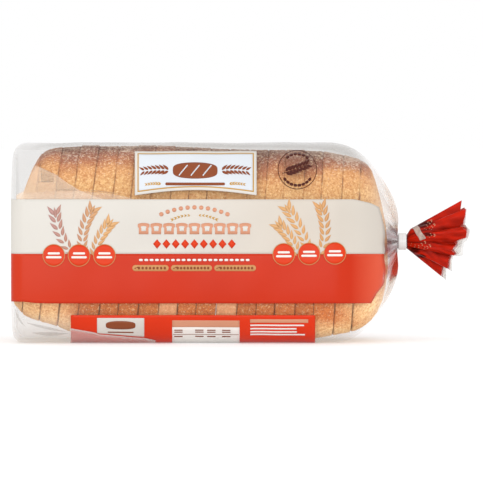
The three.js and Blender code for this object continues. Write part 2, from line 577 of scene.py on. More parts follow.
def new_tree(name, *sockets):
    """A Geometry Nodes tree with named inputs, those inputs, and the function that adds nodes to it."""
    tree = bpy.data.node_groups.new(name, "GeometryNodeTree")
    for label, kind, value in (("Geometry", "Geometry", None), *sockets):
        socket = tree.interface.new_socket(label, in_out="INPUT", socket_type="NodeSocket" + kind)
        if value is not None:
            socket.default_value = value
    tree.interface.new_socket("Geometry", in_out="OUTPUT", socket_type="NodeSocketGeometry")
    return tree, add_node(tree, "NodeGroupInput").outputs, functools.partial(add_node, tree)


def close_tree(add, geometry, material, selection=True):
    """Ends a tree in Realize Instances and Set Material."""
    real = add("GeometryNodeRealizeInstances", {0: geometry})
    painted = add(FINISH, {"Geometry": real, "Selection": selection, "Material": material})
    add("NodeGroupOutput", {0: painted})


def grow(carrier, tree, name, **values):
    """Runs a Geometry Nodes tree on a carrier, gives the plain mesh that it makes, and removes the
    carrier. The tree's inputs are set by name, through their sockets' identifiers."""
    modifier = carrier.modifiers.new(tree.name, "NODES")
    modifier.node_group = tree
    for item in tree.interface.items_tree:
        key = item.name.replace(" ", "_").lower()
        if item.item_type == "SOCKET" and item.in_out == "INPUT" and key in values:
            modifier[item.identifier] = values[key]
    graph = bpy.context.evaluated_depsgraph_get()
    graph.update()
    mesh = bpy.data.meshes.new_from_object(carrier.evaluated_get(graph), depsgraph=graph)
    mesh.name = name
    bpy.data.objects.remove(carrier)
    return mesh


def stamps_tree():
    """Stamps along a path in the plane of u and v, growing from the first size to the last."""
    if "stamps_along_path" in bpy.data.node_groups:
        return bpy.data.node_groups["stamps_along_path"]
    tree, get, add = new_tree(
        "stamps_along_path",
        ("Stamp", "Object", None),
        ("Count", "Int", 8),
        ("First size", "Float", 1.0),
        ("Last size", "Float", 1.0),
        ("Turn", "Float", 0.0),
        ("Side", "Float", 0.0),
        ("Material", "Material", None),
    )
    points = add("GeometryNodeCurveToPoints", {"Curve": get["Geometry"], "Count": get["Count"]}, mode="COUNT")
    tangent = add(SPLIT, {0: points.outputs["Tangent"]}).outputs
    heading = add(MATH, {0: tangent["Z"], 1: tangent["X"]}, operation="ARCTAN2")
    turned = add(MATH, {0: heading, 1: get["Turn"]}, operation="ADD")
    rotation = add(JOIN, {"Y": add(MATH, {0: turned, 1: -1.0}, operation="MULTIPLY")})
    last = add(MATH, {0: get["Count"], 1: 1.0}, operation="SUBTRACT")
    index = add("GeometryNodeInputIndex")
    size = add(RANGE, {0: index, 2: last, 3: get["First size"], 4: get["Last size"]})
    across = add(JOIN, {"X": tangent["Z"], "Z": add(MATH, {0: tangent["X"], 1: -1.0}, operation="MULTIPLY")})
    shift = add(SCALE, {0: across, "Scale": get["Side"]}, operation="SCALE")
    moved = add(MOVE, {"Geometry": points, "Offset": shift})
    stamp = add("GeometryNodeObjectInfo", {"Object": get["Stamp"]}).outputs["Geometry"]
    copies = add(
        "GeometryNodeInstanceOnPoints",
        {"Points": moved, "Instance": stamp, "Rotation": rotation, "Scale": size},
    )
    close_tree(add, copies, get["Material"])
    return tree


def stamps_on_path(stamp, path, count, sizes, turn, side):
    """Runs the stamps tree on a path of (u, v) points, and gives flat points and faces."""
    line = bpy.data.curves.new("path", "CURVE")
    line.dimensions = "3D"
    spline = line.splines.new("POLY")
    spline.points.add(len(path) - 1)
    for point, (u, v) in zip(spline.points, path):
        point.co = (u, 0, v, 1)
    flat = bpy.data.meshes.new("stamp")
    flat.from_pydata([(u, 0, v) for u, v in stamp.points], [], stamp.faces)
    stamp_object = new_object("stamp", flat)
    mesh = grow(
        new_object("path", line),
        stamps_tree(),
        "stamped",
        stamp=stamp_object,
        count=count,
        first_size=float(sizes[0]),
        last_size=float(sizes[1]),
        turn=float(turn),
        side=float(side),
    )
    bpy.data.objects.remove(stamp_object)
    points = [(v.co.x, v.co.z) for v in mesh.vertices]
    faces = [tuple(p.vertices) for p in mesh.polygons]
    bpy.data.meshes.remove(mesh)
    return points, faces


def arc_path(u, v, radius, start, end):
    turns = [math.radians(lerp(start, end, i / 24)) for i in range(25)]
    return [(u + radius * math.cos(t), v + radius * math.sin(t)) for t in turns]


def bend_path(start, control, end):
    """A smooth bend from start to end, drawn towards its control point."""
    path = []
    for i in range(17):
        t = i / 16
        a, b, c = (1 - t) ** 2, 2 * t * (1 - t), t**2
        path.append(tuple(a * start[k] + b * control[k] + c * end[k] for k in (0, 1)))
    return path


# Materials

FILM = "polythene_film_clear"


def film_material():
    """Clear cast polythene film: a thin gloss over what lies behind, hazier where it is gathered,
    folded or seen edge on. Its haze and tint are attributes of the mesh, as they follow the folds; much of
    them is painted light: painted reflections where it is milky and painted shade where it is grey or mauve."""
    material, add = new_material(FILM)
    haze = add(MARK, attribute_name="haze").outputs["Fac"]
    shade = add(MARK, attribute_name="tint").outputs["Fac"]
    inks = ((0.0, "milky"), (0.25, "film"), (0.4, "fold"), (0.6, "gather"), (1.0, "red"))
    colour = add(RAMP, {"Fac": shade}, [(place, tint(key)) for place, key in inks])
    dents = crinkle(add, 9, 0.12)
    close_material(add, Base_Color=colour, Alpha=haze, Normal=dents, Roughness=0.16, IOR=1.5)
    return material


def crinkle(add, size, strength):
    """Soft dents of a size in millimetres, as thin film has over anything uneven."""
    dents = add(NOISE, {"Vector": add(WHERE).outputs["Object"], "Scale": 1 / (size * MM), "Detail": 3.0})
    return add(BUMP, {"Height": dents, "Strength": strength, "Distance": 0.6 * MM})


def print_material(name, code, drift=0.05, size=45, roughness=0.3):
    """Gravure ink on polythene: a full even colour under the film's own gloss, with a slow drift in
    depth where the film turns."""
    material, add = new_material(name)
    noise = add(NOISE, {"Vector": add(WHERE).outputs["Object"], "Scale": 1 / (size * MM), "Detail": 2.0})
    depth = add(RANGE, {0: noise, 1: 0.3, 2: 0.7, 3: 1 - drift, 4: 1 + drift})
    colour = add(DEEPEN, {"Color": linear(code), "Value": depth})
    dents = crinkle(add, 14, 0.1)
    close_material(add, Base_Color=colour, Normal=dents, Roughness=roughness, Specular_IOR_Level=0.15)
    return material


def along_pack(add):
    """How far along the pack a point is, from 0 at the flat end to 1 at 250 mm."""
    place = add(SPLIT, {0: add(WHERE).outputs["Object"]}).outputs["X"]
    return add(RANGE, {0: place, 1: FLAT_END, 2: FLAT_END + 250 * MM})


def band_material(key, shoulder, stops):
    """A band's ink, whose depth drifts along the pack. Along the pack its colour also goes towards a second
    one:
    on the red a painted sheen towards the shoulder, on the cream painted shade towards the right."""
    material, add = new_material("gravure_ink_" + key + "_band")
    share = add(RAMP, {"Fac": along_pack(add)}, [(place, (k, k, k, 1)) for place, k in stops])
    base = add(MIX, {0: share, 6: tint(key), 7: linear(shoulder)}, data_type="RGBA")
    drift = add(NOISE, {"Vector": add(WHERE).outputs["Object"], "Scale": 1 / (60 * MM)})
    depth = add(RANGE, {0: drift, 1: 0.3, 2: 0.7, 3: 0.97, 4: 1.03})
    colour = add(DEEPEN, {"Value": depth, "Color": base})
    dents = crinkle(add, 14, 0.1)
    close_material(add, Base_Color=colour, Normal=dents, Roughness=0.3, Specular_IOR_Level=0.15)
    return material


def wheat_material():
    """Two inks laid over each other as a soft change of colour from mauve brown to gold."""
    material, add = new_material("gravure_ink_wheat")
    stops = (
        (0.1, "#a57b75"), (0.16, "#a8735a"), (0.25, "#c4935c"), (0.7, "#c2925d"), (0.8, "#c58f54"),
        (0.88, "#a9774c"),
    )
    colour = add(RAMP, {"Fac": along_pack(add)}, stops)
    close_material(add, Base_Color=colour, Roughness=0.3, IOR=1.5)
    return material


def crust_material():
    """Baked crust of a sourdough tin loaf: gold on its sides, browner towards the top and in a band
    near the base, matt and grainy, with flour left on the top, painted shade along the cuts and painted light
    on the heels. Grain is about 0.8 mm, blisters 5 mm."""
    material, add = new_material("sourdough_crust")
    where = add(WHERE).outputs["Object"]
    axes = add(SPLIT, {0: where}).outputs
    tone = add(MARK, attribute_name="slice_tone").outputs["Fac"]
    cut_edge = add(MARK, attribute_name="cut_edge").outputs["Fac"]
    # Each pattern by the size of its features in millimetres, its detail and its roughness
    patterns = (
        (17, 3, 0.5), (1.6, 4, 0.8), (1.3, 2, 0.6), (1.7, 4, 0.75), (14, 2, 0.5), (13, 3, 0.5),
        (0.9, 3, 0.7), (5, 2, 0.5),
    )
    blotches, grains, specks, powder, drifts, breaks, pits, blisters = [
        add(NOISE, {"Vector": where, "Scale": 1 / (size * MM), "Detail": detail, "Roughness": rough})
        for size, detail, rough in patterns
    ]
    height = add(MATH, {0: axes["Z"], 1: BODY_HEIGHT * MM}, operation="DIVIDE")
    station = add(RANGE, {0: axes["X"], 1: FLAT_END, 2: FLAT_END + 300 * MM, 4: 300.0}, clamp=False)

    # Colour by height, which wanders from place to place and slice to slice, and is browner at both ends
    place = add(MATH, {0: blotches, 1: 0.12, 2: height}, operation="MULTIPLY_ADD")
    place = add(MATH, {0: tone, 1: 0.05, 2: place}, operation="MULTIPLY_ADD")
    place = add(MATH, {0: place, 1: 0.085}, operation="SUBTRACT")
    for start, end, most in ((105, 160, 0.05), (62, 30, 0.02)):
        browner = add(RANGE, {0: station, 1: start, 2: end, 4: most})
        place = add(MATH, {0: place, 1: browner}, operation="ADD")
    stops = (
        (0.0, "#ffdca6"), (0.09, "#fbc98c"), (0.15, "#cf702d"), (0.28, "#c96b30"), (0.6, "#ca9056"),
        (0.8, "#d39c61"), (0.855, "#d2955c"), (0.875, "#cd8e56"), (0.895, "#bb7b4b"), (0.915, "#b06c44"),
        (0.935, "#9b5c3e"), (0.955, "#8e533b"), (1.0, "#714230"),
    )
    base = add(RAMP, {"Fac": place}, stops)

    # Smoother, paler patches near the base on some slices, and gold where the loaf rounds to its heels: low
    # on the heels the gold is partly the crust's own and partly painted light where they face away from the
    # lamps, and on the last heel below the crown it is a painted highlight
    low = add(RANGE, {0: height, 1: 0.3, 2: 0.2})
    pale = add(RANGE, {0: tone, 1: 0.74, 2: 0.82, 4: 0.75})
    patches = add(MATH, {0: low, 1: pale}, operation="MULTIPLY")
    near_end = add(RANGE, {0: station, 1: 48.0, 2: 26.0})
    far_end = add(RANGE, {0: station, 1: 212.0, 2: 236.0})
    heels = add(MATH, {0: near_end, 1: far_end}, operation="ADD")
    heels = add(MATH, {0: heels, 1: low}, operation="MULTIPLY")
    uneven = add(RANGE, {0: blotches, 1: 0.35, 2: 0.6, 3: 0.95, 4: 0.6})
    heels = add(MATH, {0: heels, 1: uneven}, operation="MULTIPLY")
    last_heel = add(RANGE, {0: station, 1: 230.0, 2: 246.0, 4: 0.4})
    below_crown = add(RANGE, {0: height, 1: 0.86, 2: 0.76})
    last_heel = add(MATH, {0: last_heel, 1: below_crown}, operation="MULTIPLY")

    # Grain of the crust: its dark side is redder than the crust and its light side is like dry flour
    side = add(RANGE, {0: grains, 1: 0.36, 2: 0.64})
    grain = add(MIX, {0: side, 6: (0.7, 0.5, 0.33, 1), 7: (1.2, 1.45, 1.7, 1)}, data_type="RGBA")
    grain_depth = add(RANGE, {0: pale, 2: 0.75, 3: 0.9, 4: 0.5})
    flecks = add(RANGE, {0: specks, 1: 0.58, 2: 0.66, 4: 0.45})

    # Flour, thick on the crown and thinning down the sides, with more of it towards the tail
    crown = add(RANGE, {0: height, 1: 0.84, 2: 0.985, 4: 0.2})
    dust = add(MATH, {0: powder, 1: crown}, operation="ADD")
    dust = add(MATH, {0: drifts, 1: 0.3, 2: dust}, operation="MULTIPLY_ADD")
    dust = add(MATH, {0: dust, 1: 0.81}, operation="SUBTRACT")
    by_the_tail = add(RANGE, {0: station, 1: 195.0, 2: 216.0, 4: 0.1})
    high = add(RANGE, {0: height, 1: 0.8, 2: 0.88})
    dust = add(MATH, {0: by_the_tail, 1: high, 2: dust}, operation="MULTIPLY_ADD")
    dust = add(RANGE, {0: dust, 1: 0.02, 2: 0.12, 4: 0.72})

    # Painted shade in the seam along each cut, broken where the slices press together
    seam_shade = add(RANGE, {0: breaks, 1: 0.38, 2: 0.62, 4: 0.65})
    seam_shade = add(MATH, {0: cut_edge, 1: seam_shade}, operation="MULTIPLY")

    layers = (
        (patches, linear("#efb07e"), "MIX"),
        (heels, linear("#ffd090"), "MIX"),
        (last_heel, linear("#f6cf9c"), "MIX"),
        (grain_depth, grain, "MULTIPLY"),
        (flecks, linear("#ffe2ae"), "MIX"),
        (dust, tint("flour"), "MIX"),
        (seam_shade, linear("#5a2a18"), "MIX"),
    )
    for amount, colour, blend in layers:
        base = add(MIX, {0: amount, 6: base, 7: colour}, data_type="RGBA", blend_type=blend)
    rough = add(MATH, {0: pits, 1: 0.5}, operation="MULTIPLY")
    rough = add(MATH, {0: blisters, 1: 0.9, 2: rough}, operation="MULTIPLY_ADD")
    bump = add(BUMP, {"Height": rough, "Strength": 0.5, "Distance": 0.7 * MM})
    close_material(add, Base_Color=base, Normal=bump, Roughness=0.72, IOR=1.45)
    return material


def crumb_material():
    """Sourdough crumb: pale cream, matt and open, with uneven pores of 1 to 5 mm."""
    material, add = new_material("sourdough_crumb")
    where = add(WHERE).outputs["Object"]
    pores = add("ShaderNodeTexVoronoi", {"Vector": where, "Scale": 1 / (3.2 * MM), "Randomness": 1.0})
    colour = add(RAMP, {"Fac": pores}, ((0.0, "#cdb48c"), (0.28, "#ecdcbd"), (1.0, "#f3e8d0")))
    bump = add(BUMP, {"Height": pores, "Strength": 0.6, "Distance": 1 * MM})
    close_material(add, Base_Color=colour, Normal=bump, Roughness=0.9, IOR=1.4)
    return material


def flour_material():
    """Wheat flour: dry white powder in small clumps, fully matt."""
    material, add = new_material("wheat_flour")
    noise = add(NOISE, {"Vector": add(WHERE).outputs["Object"], "Scale": 1 / (6 * MM)})
    colour = add(RAMP, {"Fac": noise}, ((0.3, "#c9a98f"), (0.7, tint("flour"))))
    close_material(add, Base_Color=colour, Roughness=1.0, IOR=1.4)
    return material


def tape_material():
    """Milky polypropylene sealing tape: smooth, slightly clouded, with faint pull lines round it."""
    material, add = new_material("polypropylene_tape_milky")
    drawn = add("ShaderNodeMapping", {"Vector": add(WHERE).outputs["Object"], "Scale": (2200, 90, 90)})
    lines = add(NOISE, {"Vector": drawn, "Scale": 1.0, "Detail": 2.0})
    colour = add(RAMP, {"Fac": lines}, ((0.3, "#d6d5d5"), (0.7, "#e0e0e0")))
    bump = add(BUMP, {"Height": lines, "Strength": 0.15, "Distance": 0.1 * MM})
    close_material(add, Base_Color=colour, Normal=bump, Roughness=0.32, IOR=1.49)
    return material


# What a user would change


def length(name, about, millimetres):
    """A length property with a default in millimetres."""
    return FloatProperty(
        name=name, description=about, default=millimetres * MM, unit="LENGTH", precision=5
    )


def lean(name, about, degrees):
    """An angle property with a default in degrees."""
    return FloatProperty(name=name, description=about, default=math.radians(degrees), subtype="ANGLE")


def colour(name, about, code):
    """A colour property with an sRGB hex default."""
    return FloatVectorProperty(
        name=name, description=about, subtype="COLOR", size=4, min=0, max=1, default=linear(code)
    )


class BreadBagSizes(bpy.types.PropertyGroup):
    slice_count: IntProperty(
        name="Slices", description="How many slices the loaf is cut into", default=19, min=5, max=30
    )
    slice_pitch: length("Slice pitch", "From one cut to the next", 12.76)
    first_cut: length("First cut", "Where the first cut is, from the flat end", 12.3)
    slice_gap: length("Gap", "How far apart two cut faces stand", 0.02)
    lean_first: lean("First lean", "How far the first slices lean", 8)
    lean_last: lean("Last lean", "How far the last slices lean", 3.2)
    flour_grains: FloatProperty(
        name="Flour", description="Clumps of flour on each square metre of the crown", default=170000, min=0
    )
    disc_radius: length("Claim disc", "Radius of the six round claims", 7.3)


class BreadBagColours(bpy.types.PropertyGroup):
    film: colour("Film", "Shade of the clear film where it is seen edge on", "#918b81")
    # Folded film's colour also stands for a painted reflection of the lights over the flat end
    fold: colour("Folded film", "Film that lies double over the loaf", "#efd9c2")
    # Milky film stands partly for crumpled film and partly for painted reflections of the lights
    milky: colour("Milky film", "Film that is crumpled or gathered", "#efeae5")
    gather: colour("Gathers", "Shade in the folds by the neck", "#754b50")
    red: colour("Red ink", "The red band", "#b62a0b")
    # The panel's red is the band's red painted lighter: painted light on the underside, which faces away from
    # the lamps
    low_red: colour("Panel red", "The information panel under the band", "#c8300e")
    tail_red: colour("Tail red", "The print on the tail", "#a31907")
    disc: colour("Disc red", "The round claims and the red ornaments", "#c63510")
    cream: colour("Cream ink", "The cream band and the plaque's board", "#c5c1ba")
    panel: colour("Plaque face", "The face of the plaque", "#c5c9ce")
    tan: colour("Tan ink", "The pills and the rims of the discs", "#b98555")
    gold: colour("Gold ink", "The plaque's line and its sprigs", "#b98c43")
    word: colour("Light tan ink", "The ornaments on the cream band", "#c0876b")
    brown: colour("Brown ink", "The marks on the plaque, pills and panel", "#7e4125")
    badge: colour("Badge brown", "The round badge", "#451a11")
    white: colour("White ink", "The marks on red", "#dbd6d1")
    flour: colour("Flour", "Flour on the crown", "#e3d0bd")


def tint(key):
    """A colour of the bag by its name, as the scene holds it."""
    return list(getattr(bpy.context.scene.bread_bag_colours, key))


# Operators, one for each piece or group of like pieces


class BREADBAG_OT_stage(bpy.types.Operator):
    """Adds the pale floor, the soft lights and the camera at the photograph's angle"""

    bl_idname = "bread_bag.stage"
    bl_label = "Stage, lights and camera"

    def execute(self, context):
        floor_mesh = bpy.data.meshes.new("floor")
        work = bmesh.new()
        bmesh.ops.create_grid(work, x_segments=1, y_segments=1, size=6)
        work.to_mesh(floor_mesh)
        work.free()
        floor = new_object("floor", floor_mesh)
        # The floor's faint glow stands for the light that a wide white studio throws back on it
        material, add = new_material("matt_paper_white")
        grey, white = linear("#d4d4d4"), (1, 1, 1, 1)
        close_material(add, Base_Color=grey, Roughness=0.95, Emission_Color=white, Emission_Strength=0.3)
        floor_mesh.materials.append(material)

        world = bpy.data.worlds.new("studio")
        world.use_nodes = True
        backdrop = world.node_tree.nodes["Background"]
        backdrop.inputs["Color"].default_value = white
        backdrop.inputs["Strength"].default_value = 1.0
        context.scene.world = world

        # Each softbox by its place, the length of its side in metres and its power in watts
        aim = to_metres(VIEW_MIDDLE)
        lamps = (
            ("key_softbox", (-0.55, -0.75, 0.75), 0.3, 1.5),
            ("side_softbox", (0.9, -0.5, 0.35), 0.25, 1.0),
            ("front_softbox", (-0.1, -1.5, 0.12), 0.9, 9.5),
        )
        for name, place, size, power in lamps:
            light = bpy.data.lights.new(name, "AREA")
            light.shape = "SQUARE"
            light.size = size
            light.energy = power
            lamp = new_object(name, light)
            lamp.location = place
            lamp.rotation_euler = (aim - Vector(place)).to_track_quat("-Z", "Y").to_euler()

        sky = bpy.data.lights.new("ceiling_softbox", "SUN")
        sky.energy = 0.45
        sky.angle = math.radians(75)
        ceiling = new_object("ceiling_softbox", sky)
        ceiling.rotation_euler = (math.radians(12), math.radians(-8), 0)

        camera_data = bpy.data.cameras.new("camera")
        camera_data.sensor_width = 36
        camera_data.lens = 36 * VIEW_DISTANCE / VIEW_WIDTH
        camera_data.clip_start = 0.05
        camera_data.clip_end = 40
        camera = new_object("camera", camera_data)
        eye = to_metres(view_ray(VIEW_MIDDLE.x, VIEW_MIDDLE.z)[0])
        camera.location = eye
        camera.rotation_euler = (aim - eye).to_track_quat("-Z", "Y").to_euler()
        context.scene.camera = camera
        context.scene.view_settings.view_transform = "Standard"
        context.scene.cycles.transparent_max_bounces = 24
        return {"FINISHED"}


def slice_blank():
    """One slab of unit size: x across its thickness, y and z over a loaf's section of radius one."""
    sides = 112
    across = (0, 0.02, 0.06, 0.14, 0.26, 0.4, 0.55, 0.7, 0.84, 0.94, 0.98, 1)
    points, faces, reaches, edges = [(0, 0, 0)], [], [0], [1]
    rings = [(0, reach) for reach in (0.4, 0.75, 0.95)]
    rings += [(a, 1 - 0.009 * (1 - smooth(0, 0.06, min(a, 1 - a)))) for a in across]
    rings += [(1, reach) for reach in (0.95, 0.75, 0.4)]
    for a, reach in rings:
        edges += [1 - smooth(0, 0.07, min(a, 1 - a))] * sides
        for i in range(sides):
            angle = 2 * math.pi * i / sides
            power = 3.1 if math.sin(angle) >= 0 else 4.6
            radius = (abs(math.cos(angle)) ** power + abs(math.sin(angle)) ** power) ** (-1 / power)
            points.append((a, reach * radius * math.cos(angle), reach * radius * math.sin(angle)))
            reaches.append(reach)
    last = len(points)
    points.append((1, 0, 0))
    reaches.append(0)
    edges.append(1)
    for i in range(sides):
        j = (i + 1) % sides
        faces.append((0, 1 + j, 1 + i))
        for r in range(len(rings) - 1):
            a = 1 + r * sides
            b = a + sides
            faces.append((a + i, a + j, b + j, b + i))
        faces.append((last, last - sides + i, last - sides + j))
    mesh = bpy.data.meshes.new("slice_blank")
    mesh.from_pydata(points, [], faces)
    for polygon in mesh.polygons:
        polygon.use_smooth = True
    mark_points(mesh, "reach", reaches)
    mark_points(mesh, "cut_edge", edges)
    return new_object("slice_blank", mesh)


def slices_tree():
    """Copies the blank slab along the loaf, and gives each its place, outline, lean and unevenness."""
    tree, get, add = new_tree(
        "slices_of_a_loaf",
        ("Count", "Int", 19),
        ("Pitch", "Float", 12.76 * MM),
        ("First cut", "Float", 12.3 * MM),
        ("Gap", "Float", 0.02 * MM),
        ("First lean", "Float", math.radians(8)),
        ("Last lean", "Float", math.radians(3.2)),
        ("Seed", "Int", SLICES_SEED),
        ("Crust", "Material", None),
        ("Crumb", "Material", None),
    )
    line = add("GeometryNodeMeshLine", {"Count": get["Count"], "Offset": (0, 0, 0)})
    copies = add("GeometryNodeInstanceOnPoints", {"Points": line, "Instance": get["Geometry"]})
    numbered = add(
        STORE,
        {"Geometry": copies, "Name": "slice", "Value": add("GeometryNodeInputIndex")},
        data_type="INT",
        domain="INSTANCE",
    )
    slabs = add("GeometryNodeRealizeInstances", {0: numbered})
    number = add(STORED, {"Name": "slice"}, data_type="INT")
    thick, side, rise = add(SPLIT, {0: add("GeometryNodeInputPosition")}).outputs
    before = add(MATH, {0: number, 1: 1.0}, operation="SUBTRACT")
    last = add(MATH, {0: get["Count"], 1: 1.0}, operation="SUBTRACT")
    near_last = add(MATH, {0: last, 1: 0.5}, operation="SUBTRACT")
    is_first = add(MATH, {0: number, 1: 0.5}, operation="LESS_THAN")
    is_last = add(MATH, {0: number, 1: near_last}, operation="GREATER_THAN")

    # Chance shares of unevenness: of the cuts at both sides of a slice, and of its height, width and tone
    chances = (
        (before, -0.7 * MM, 0.7 * MM, 1), (number, -0.7 * MM, 0.7 * MM, 1), (number, -0.4 * MM, 0.4 * MM, 2),
        (number, -0.8 * MM, 0.5 * MM, 3), (number, 0.0, 1.0, 7),
    )
    left_slip, right_slip, taller, wider, tone = [
        add(
            RANDOM,
            {2: low, 3: high, "ID": which, "Seed": add(MATH, {0: get["Seed"], 1: step}, operation="ADD")},
            data_type="FLOAT",
        )
        for which, low, high, step in chances
    ]

    # Where along the loaf a point is, between the two cuts of its slice or out to the loaf's own end
    half_gap = add(MATH, {0: get["Gap"], 1: 0.5}, operation="MULTIPLY")
    cuts = (
        (before, left_slip, "ADD", is_first, LOAF_START), (number, right_slip, "SUBTRACT", is_last, LOAF_END),
    )
    faces = []
    for which, slip, inward, is_end, end in cuts:
        cut = add(MATH, {0: which, 1: get["Pitch"], 2: get["First cut"]}, operation="MULTIPLY_ADD")
        cut = add(MATH, {0: cut, 1: slip}, operation="ADD")
        cut = add(MATH, {0: cut, 1: half_gap}, operation=inward)
        faces.append(add(MIX, {0: is_end, 2: cut, 3: end * MM}))
    station = add(MIX, {0: thick, 2: faces[0], 3: faces[1]})

    # The loaf's outline there, a little uneven from slice to slice between the heels
    share = add(MATH, {0: station, 1: LOAF_END * MM}, operation="DIVIDE")
    outlines = []
    for stations in (LOAF_TOP, LOAF_BASE, LOAF_HALF_WIDTH):
        stops = [(place / LOAF_END, size / BODY_HEIGHT) for place, size in stations]
        outline = add(CURVE, {"Value": share}, stops)
        outlines.append(add(MATH, {0: outline, 1: BODY_HEIGHT * MM}, operation="MULTIPLY"))
    top, base, width = outlines
    heels = add(MATH, {0: is_first, 1: is_last}, operation="ADD")
    inner = add(MATH, {0: 1.0, 1: heels}, operation="SUBTRACT")
    top = add(MATH, {0: taller, 1: inner, 2: top}, operation="MULTIPLY_ADD")
    width = add(MATH, {0: wider, 1: inner, 2: width}, operation="MULTIPLY_ADD")
    rise_share = add(MATH, {0: rise, 1: 0.5, 2: 0.5}, operation="MULTIPLY_ADD")
    height = add(MIX, {0: rise_share, 2: base, 3: top})

    # Slices lean towards the tail, and stand straight at both ends of the loaf
    tilt = add(RANGE, {0: number, 1: 0.0, 2: last, 3: get["First lean"], 4: get["Last lean"]})
    for start, end in ((0.5, 15), (250, 232)):
        from_end = add(RANGE, {0: station, 1: start * MM, 2: end * MM}, interpolation_type="SMOOTHSTEP")
        tilt = add(MATH, {0: tilt, 1: from_end}, operation="MULTIPLY")
    slope = add(MATH, {0: tilt}, operation="TANGENT")
    above = add(MATH, {0: height, 1: MID_HEIGHT * MM}, operation="SUBTRACT")
    along_loaf = add(MATH, {0: slope, 1: above}, operation="MULTIPLY")
    along_loaf = add(MATH, {0: station, 1: along_loaf}, operation="ADD")
    along_loaf = add(MATH, {0: along_loaf, 1: FLAT_END}, operation="ADD")
    across = add(MATH, {0: side, 1: width}, operation="MULTIPLY")
    spot = add(JOIN, {"X": along_loaf, "Y": across, "Z": height})

    # Dents of the crust, the same pattern on every slice
    dents = add(NOISE, {"Scale": 1 / (19 * MM), "Detail": 2.0})
    depth = add(MATH, {0: dents, 1: 2.0 * MM, 2: -1.0 * MM}, operation="MULTIPLY_ADD")
    push = add(SCALE, {0: add(JOIN, {"Y": side, "Z": rise}), "Scale": depth}, operation="SCALE")

    # The outer faces of both heels get no painted seam shade
    near_half = add(MATH, {0: thick, 1: 0.5}, operation="LESS_THAN")
    far_half = add(MATH, {0: thick, 1: 0.5}, operation="GREATER_THAN")
    near_end = add(MATH, {0: is_first, 1: near_half}, operation="MULTIPLY")
    far_end = add(MATH, {0: is_last, 1: far_half}, operation="MULTIPLY")
    outer = add(MATH, {0: near_end, 1: far_end}, operation="MAXIMUM")
    cut_side = add(MATH, {0: 1.0, 1: outer}, operation="SUBTRACT")
    edge = add(MATH, {0: add(STORED, {"Name": "cut_edge"}), 1: cut_side}, operation="MULTIPLY")
    for label, value in (("slice_tone", tone), ("cut_edge", edge)):
        slabs = add(STORE, {"Geometry": slabs, "Name": label, "Value": value}, data_type="FLOAT")
    shaped = add(MOVE, {"Geometry": slabs, "Position": spot, "Offset": push})

    # Crust on the walls and on the two heels, crumb on the cut faces
    facing = add(SPLIT, {0: add("GeometryNodeInputNormal")}).outputs["X"]
    upright = add(MATH, {0: add(MATH, {0: facing}, operation="ABSOLUTE"), 1: 0.9}, operation="GREATER_THAN")
    to_start = add(MATH, {0: facing, 1: 0.0}, operation="LESS_THAN")
    to_end = add(MATH, {0: facing, 1: 0.0}, operation="GREATER_THAN")
    first_heel = add(MATH, {0: is_first, 1: to_start}, operation="MULTIPLY")
    last_heel = add(MATH, {0: is_last, 1: to_end}, operation="MULTIPLY")
    heel = add(MATH, {0: first_heel, 1: last_heel}, operation="MAXIMUM")
    inside = add(MATH, {0: add(STORED, {"Name": "reach"}), 1: 0.93}, operation="LESS_THAN")
    cut_face = add(MATH, {0: upright, 1: inside}, operation="MULTIPLY")
    not_heel = add(MATH, {0: 1.0, 1: heel}, operation="SUBTRACT")
    cut_face = add(MATH, {0: cut_face, 1: not_heel}, operation="MULTIPLY")
    crusted = add(FINISH, {"Geometry": shaped, "Material": get["Crust"]})
    close_tree(add, crusted, get["Crumb"], cut_face)
    return tree


class BREADBAG_OT_slices(bpy.types.Operator):
    """Makes the loaf's slices, heels included, from one blank by Geometry Nodes"""

    bl_idname = "bread_bag.slices"
    bl_label = "Slices"

    def execute(self, context):
        sizes = context.scene.bread_bag_sizes
        crust = crust_material()
        crumb = crumb_material()
        mesh = grow(
            slice_blank(),
            slices_tree(),
            "slices",
            count=sizes.slice_count,
            pitch=sizes.slice_pitch,
            first_cut=sizes.first_cut,
            gap=sizes.slice_gap,
            first_lean=sizes.lean_first,
            last_lean=sizes.lean_last,
            seed=SLICES_SEED,
            crust=crust,
            crumb=crumb,
        )
        finish_piece(new_object("slices", mesh), "crust", "bag")
        return {"FINISHED"}


def flour_tree():
    """Scatters small clumps over the crown of the loaf, thickest at the top."""
    tree, get, add = new_tree(
        "flour_on_the_crown",
        ("Density", "Float", 170000.0),
        ("Seed", "Int", FLOUR_SEED),
        ("Material", "Material", None),
    )
    height = add(SPLIT, {0: add("GeometryNodeInputPosition")}).outputs["Z"]
    upward = add(SPLIT, {0: add("GeometryNodeInputNormal")}).outputs["Z"]
    patches = add(NOISE, {"Scale": 1 / (12 * MM), "Detail": 3.0})
    density = add(RANGE, {0: height, 1: 104 * MM, 2: 124 * MM})
    faces_up = add(RANGE, {0: upward, 1: 0.1, 2: 0.6})
    patchy = add(RANGE, {0: patches, 1: 0.38, 2: 0.62, 3: 0.05})
    for factor in (faces_up, patchy, get["Density"]):
        density = add(MATH, {0: density, 1: factor}, operation="MULTIPLY")
    points = add(
        "GeometryNodeDistributePointsOnFaces",
        {"Mesh": get["Geometry"], "Density": density, "Seed": get["Seed"]},
    )
    clump = add("GeometryNodeMeshIcoSphere", {"Radius": 0.34 * MM, "Subdivisions": 1})
    flat = add("GeometryNodeTransform", {"Geometry": clump, "Scale": (1, 0.8, 0.5)})
    size = add(RANDOM, {2: 0.4, 3: 1.15, "Seed": 3}, data_type="FLOAT")
    turned = points.outputs["Rotation"]
    copies = add(
        "GeometryNodeInstanceOnPoints",
        {"Points": points, "Instance": flat, "Rotation": turned, "Scale": size},
    )
    close_tree(add, copies, get["Material"])
    return tree


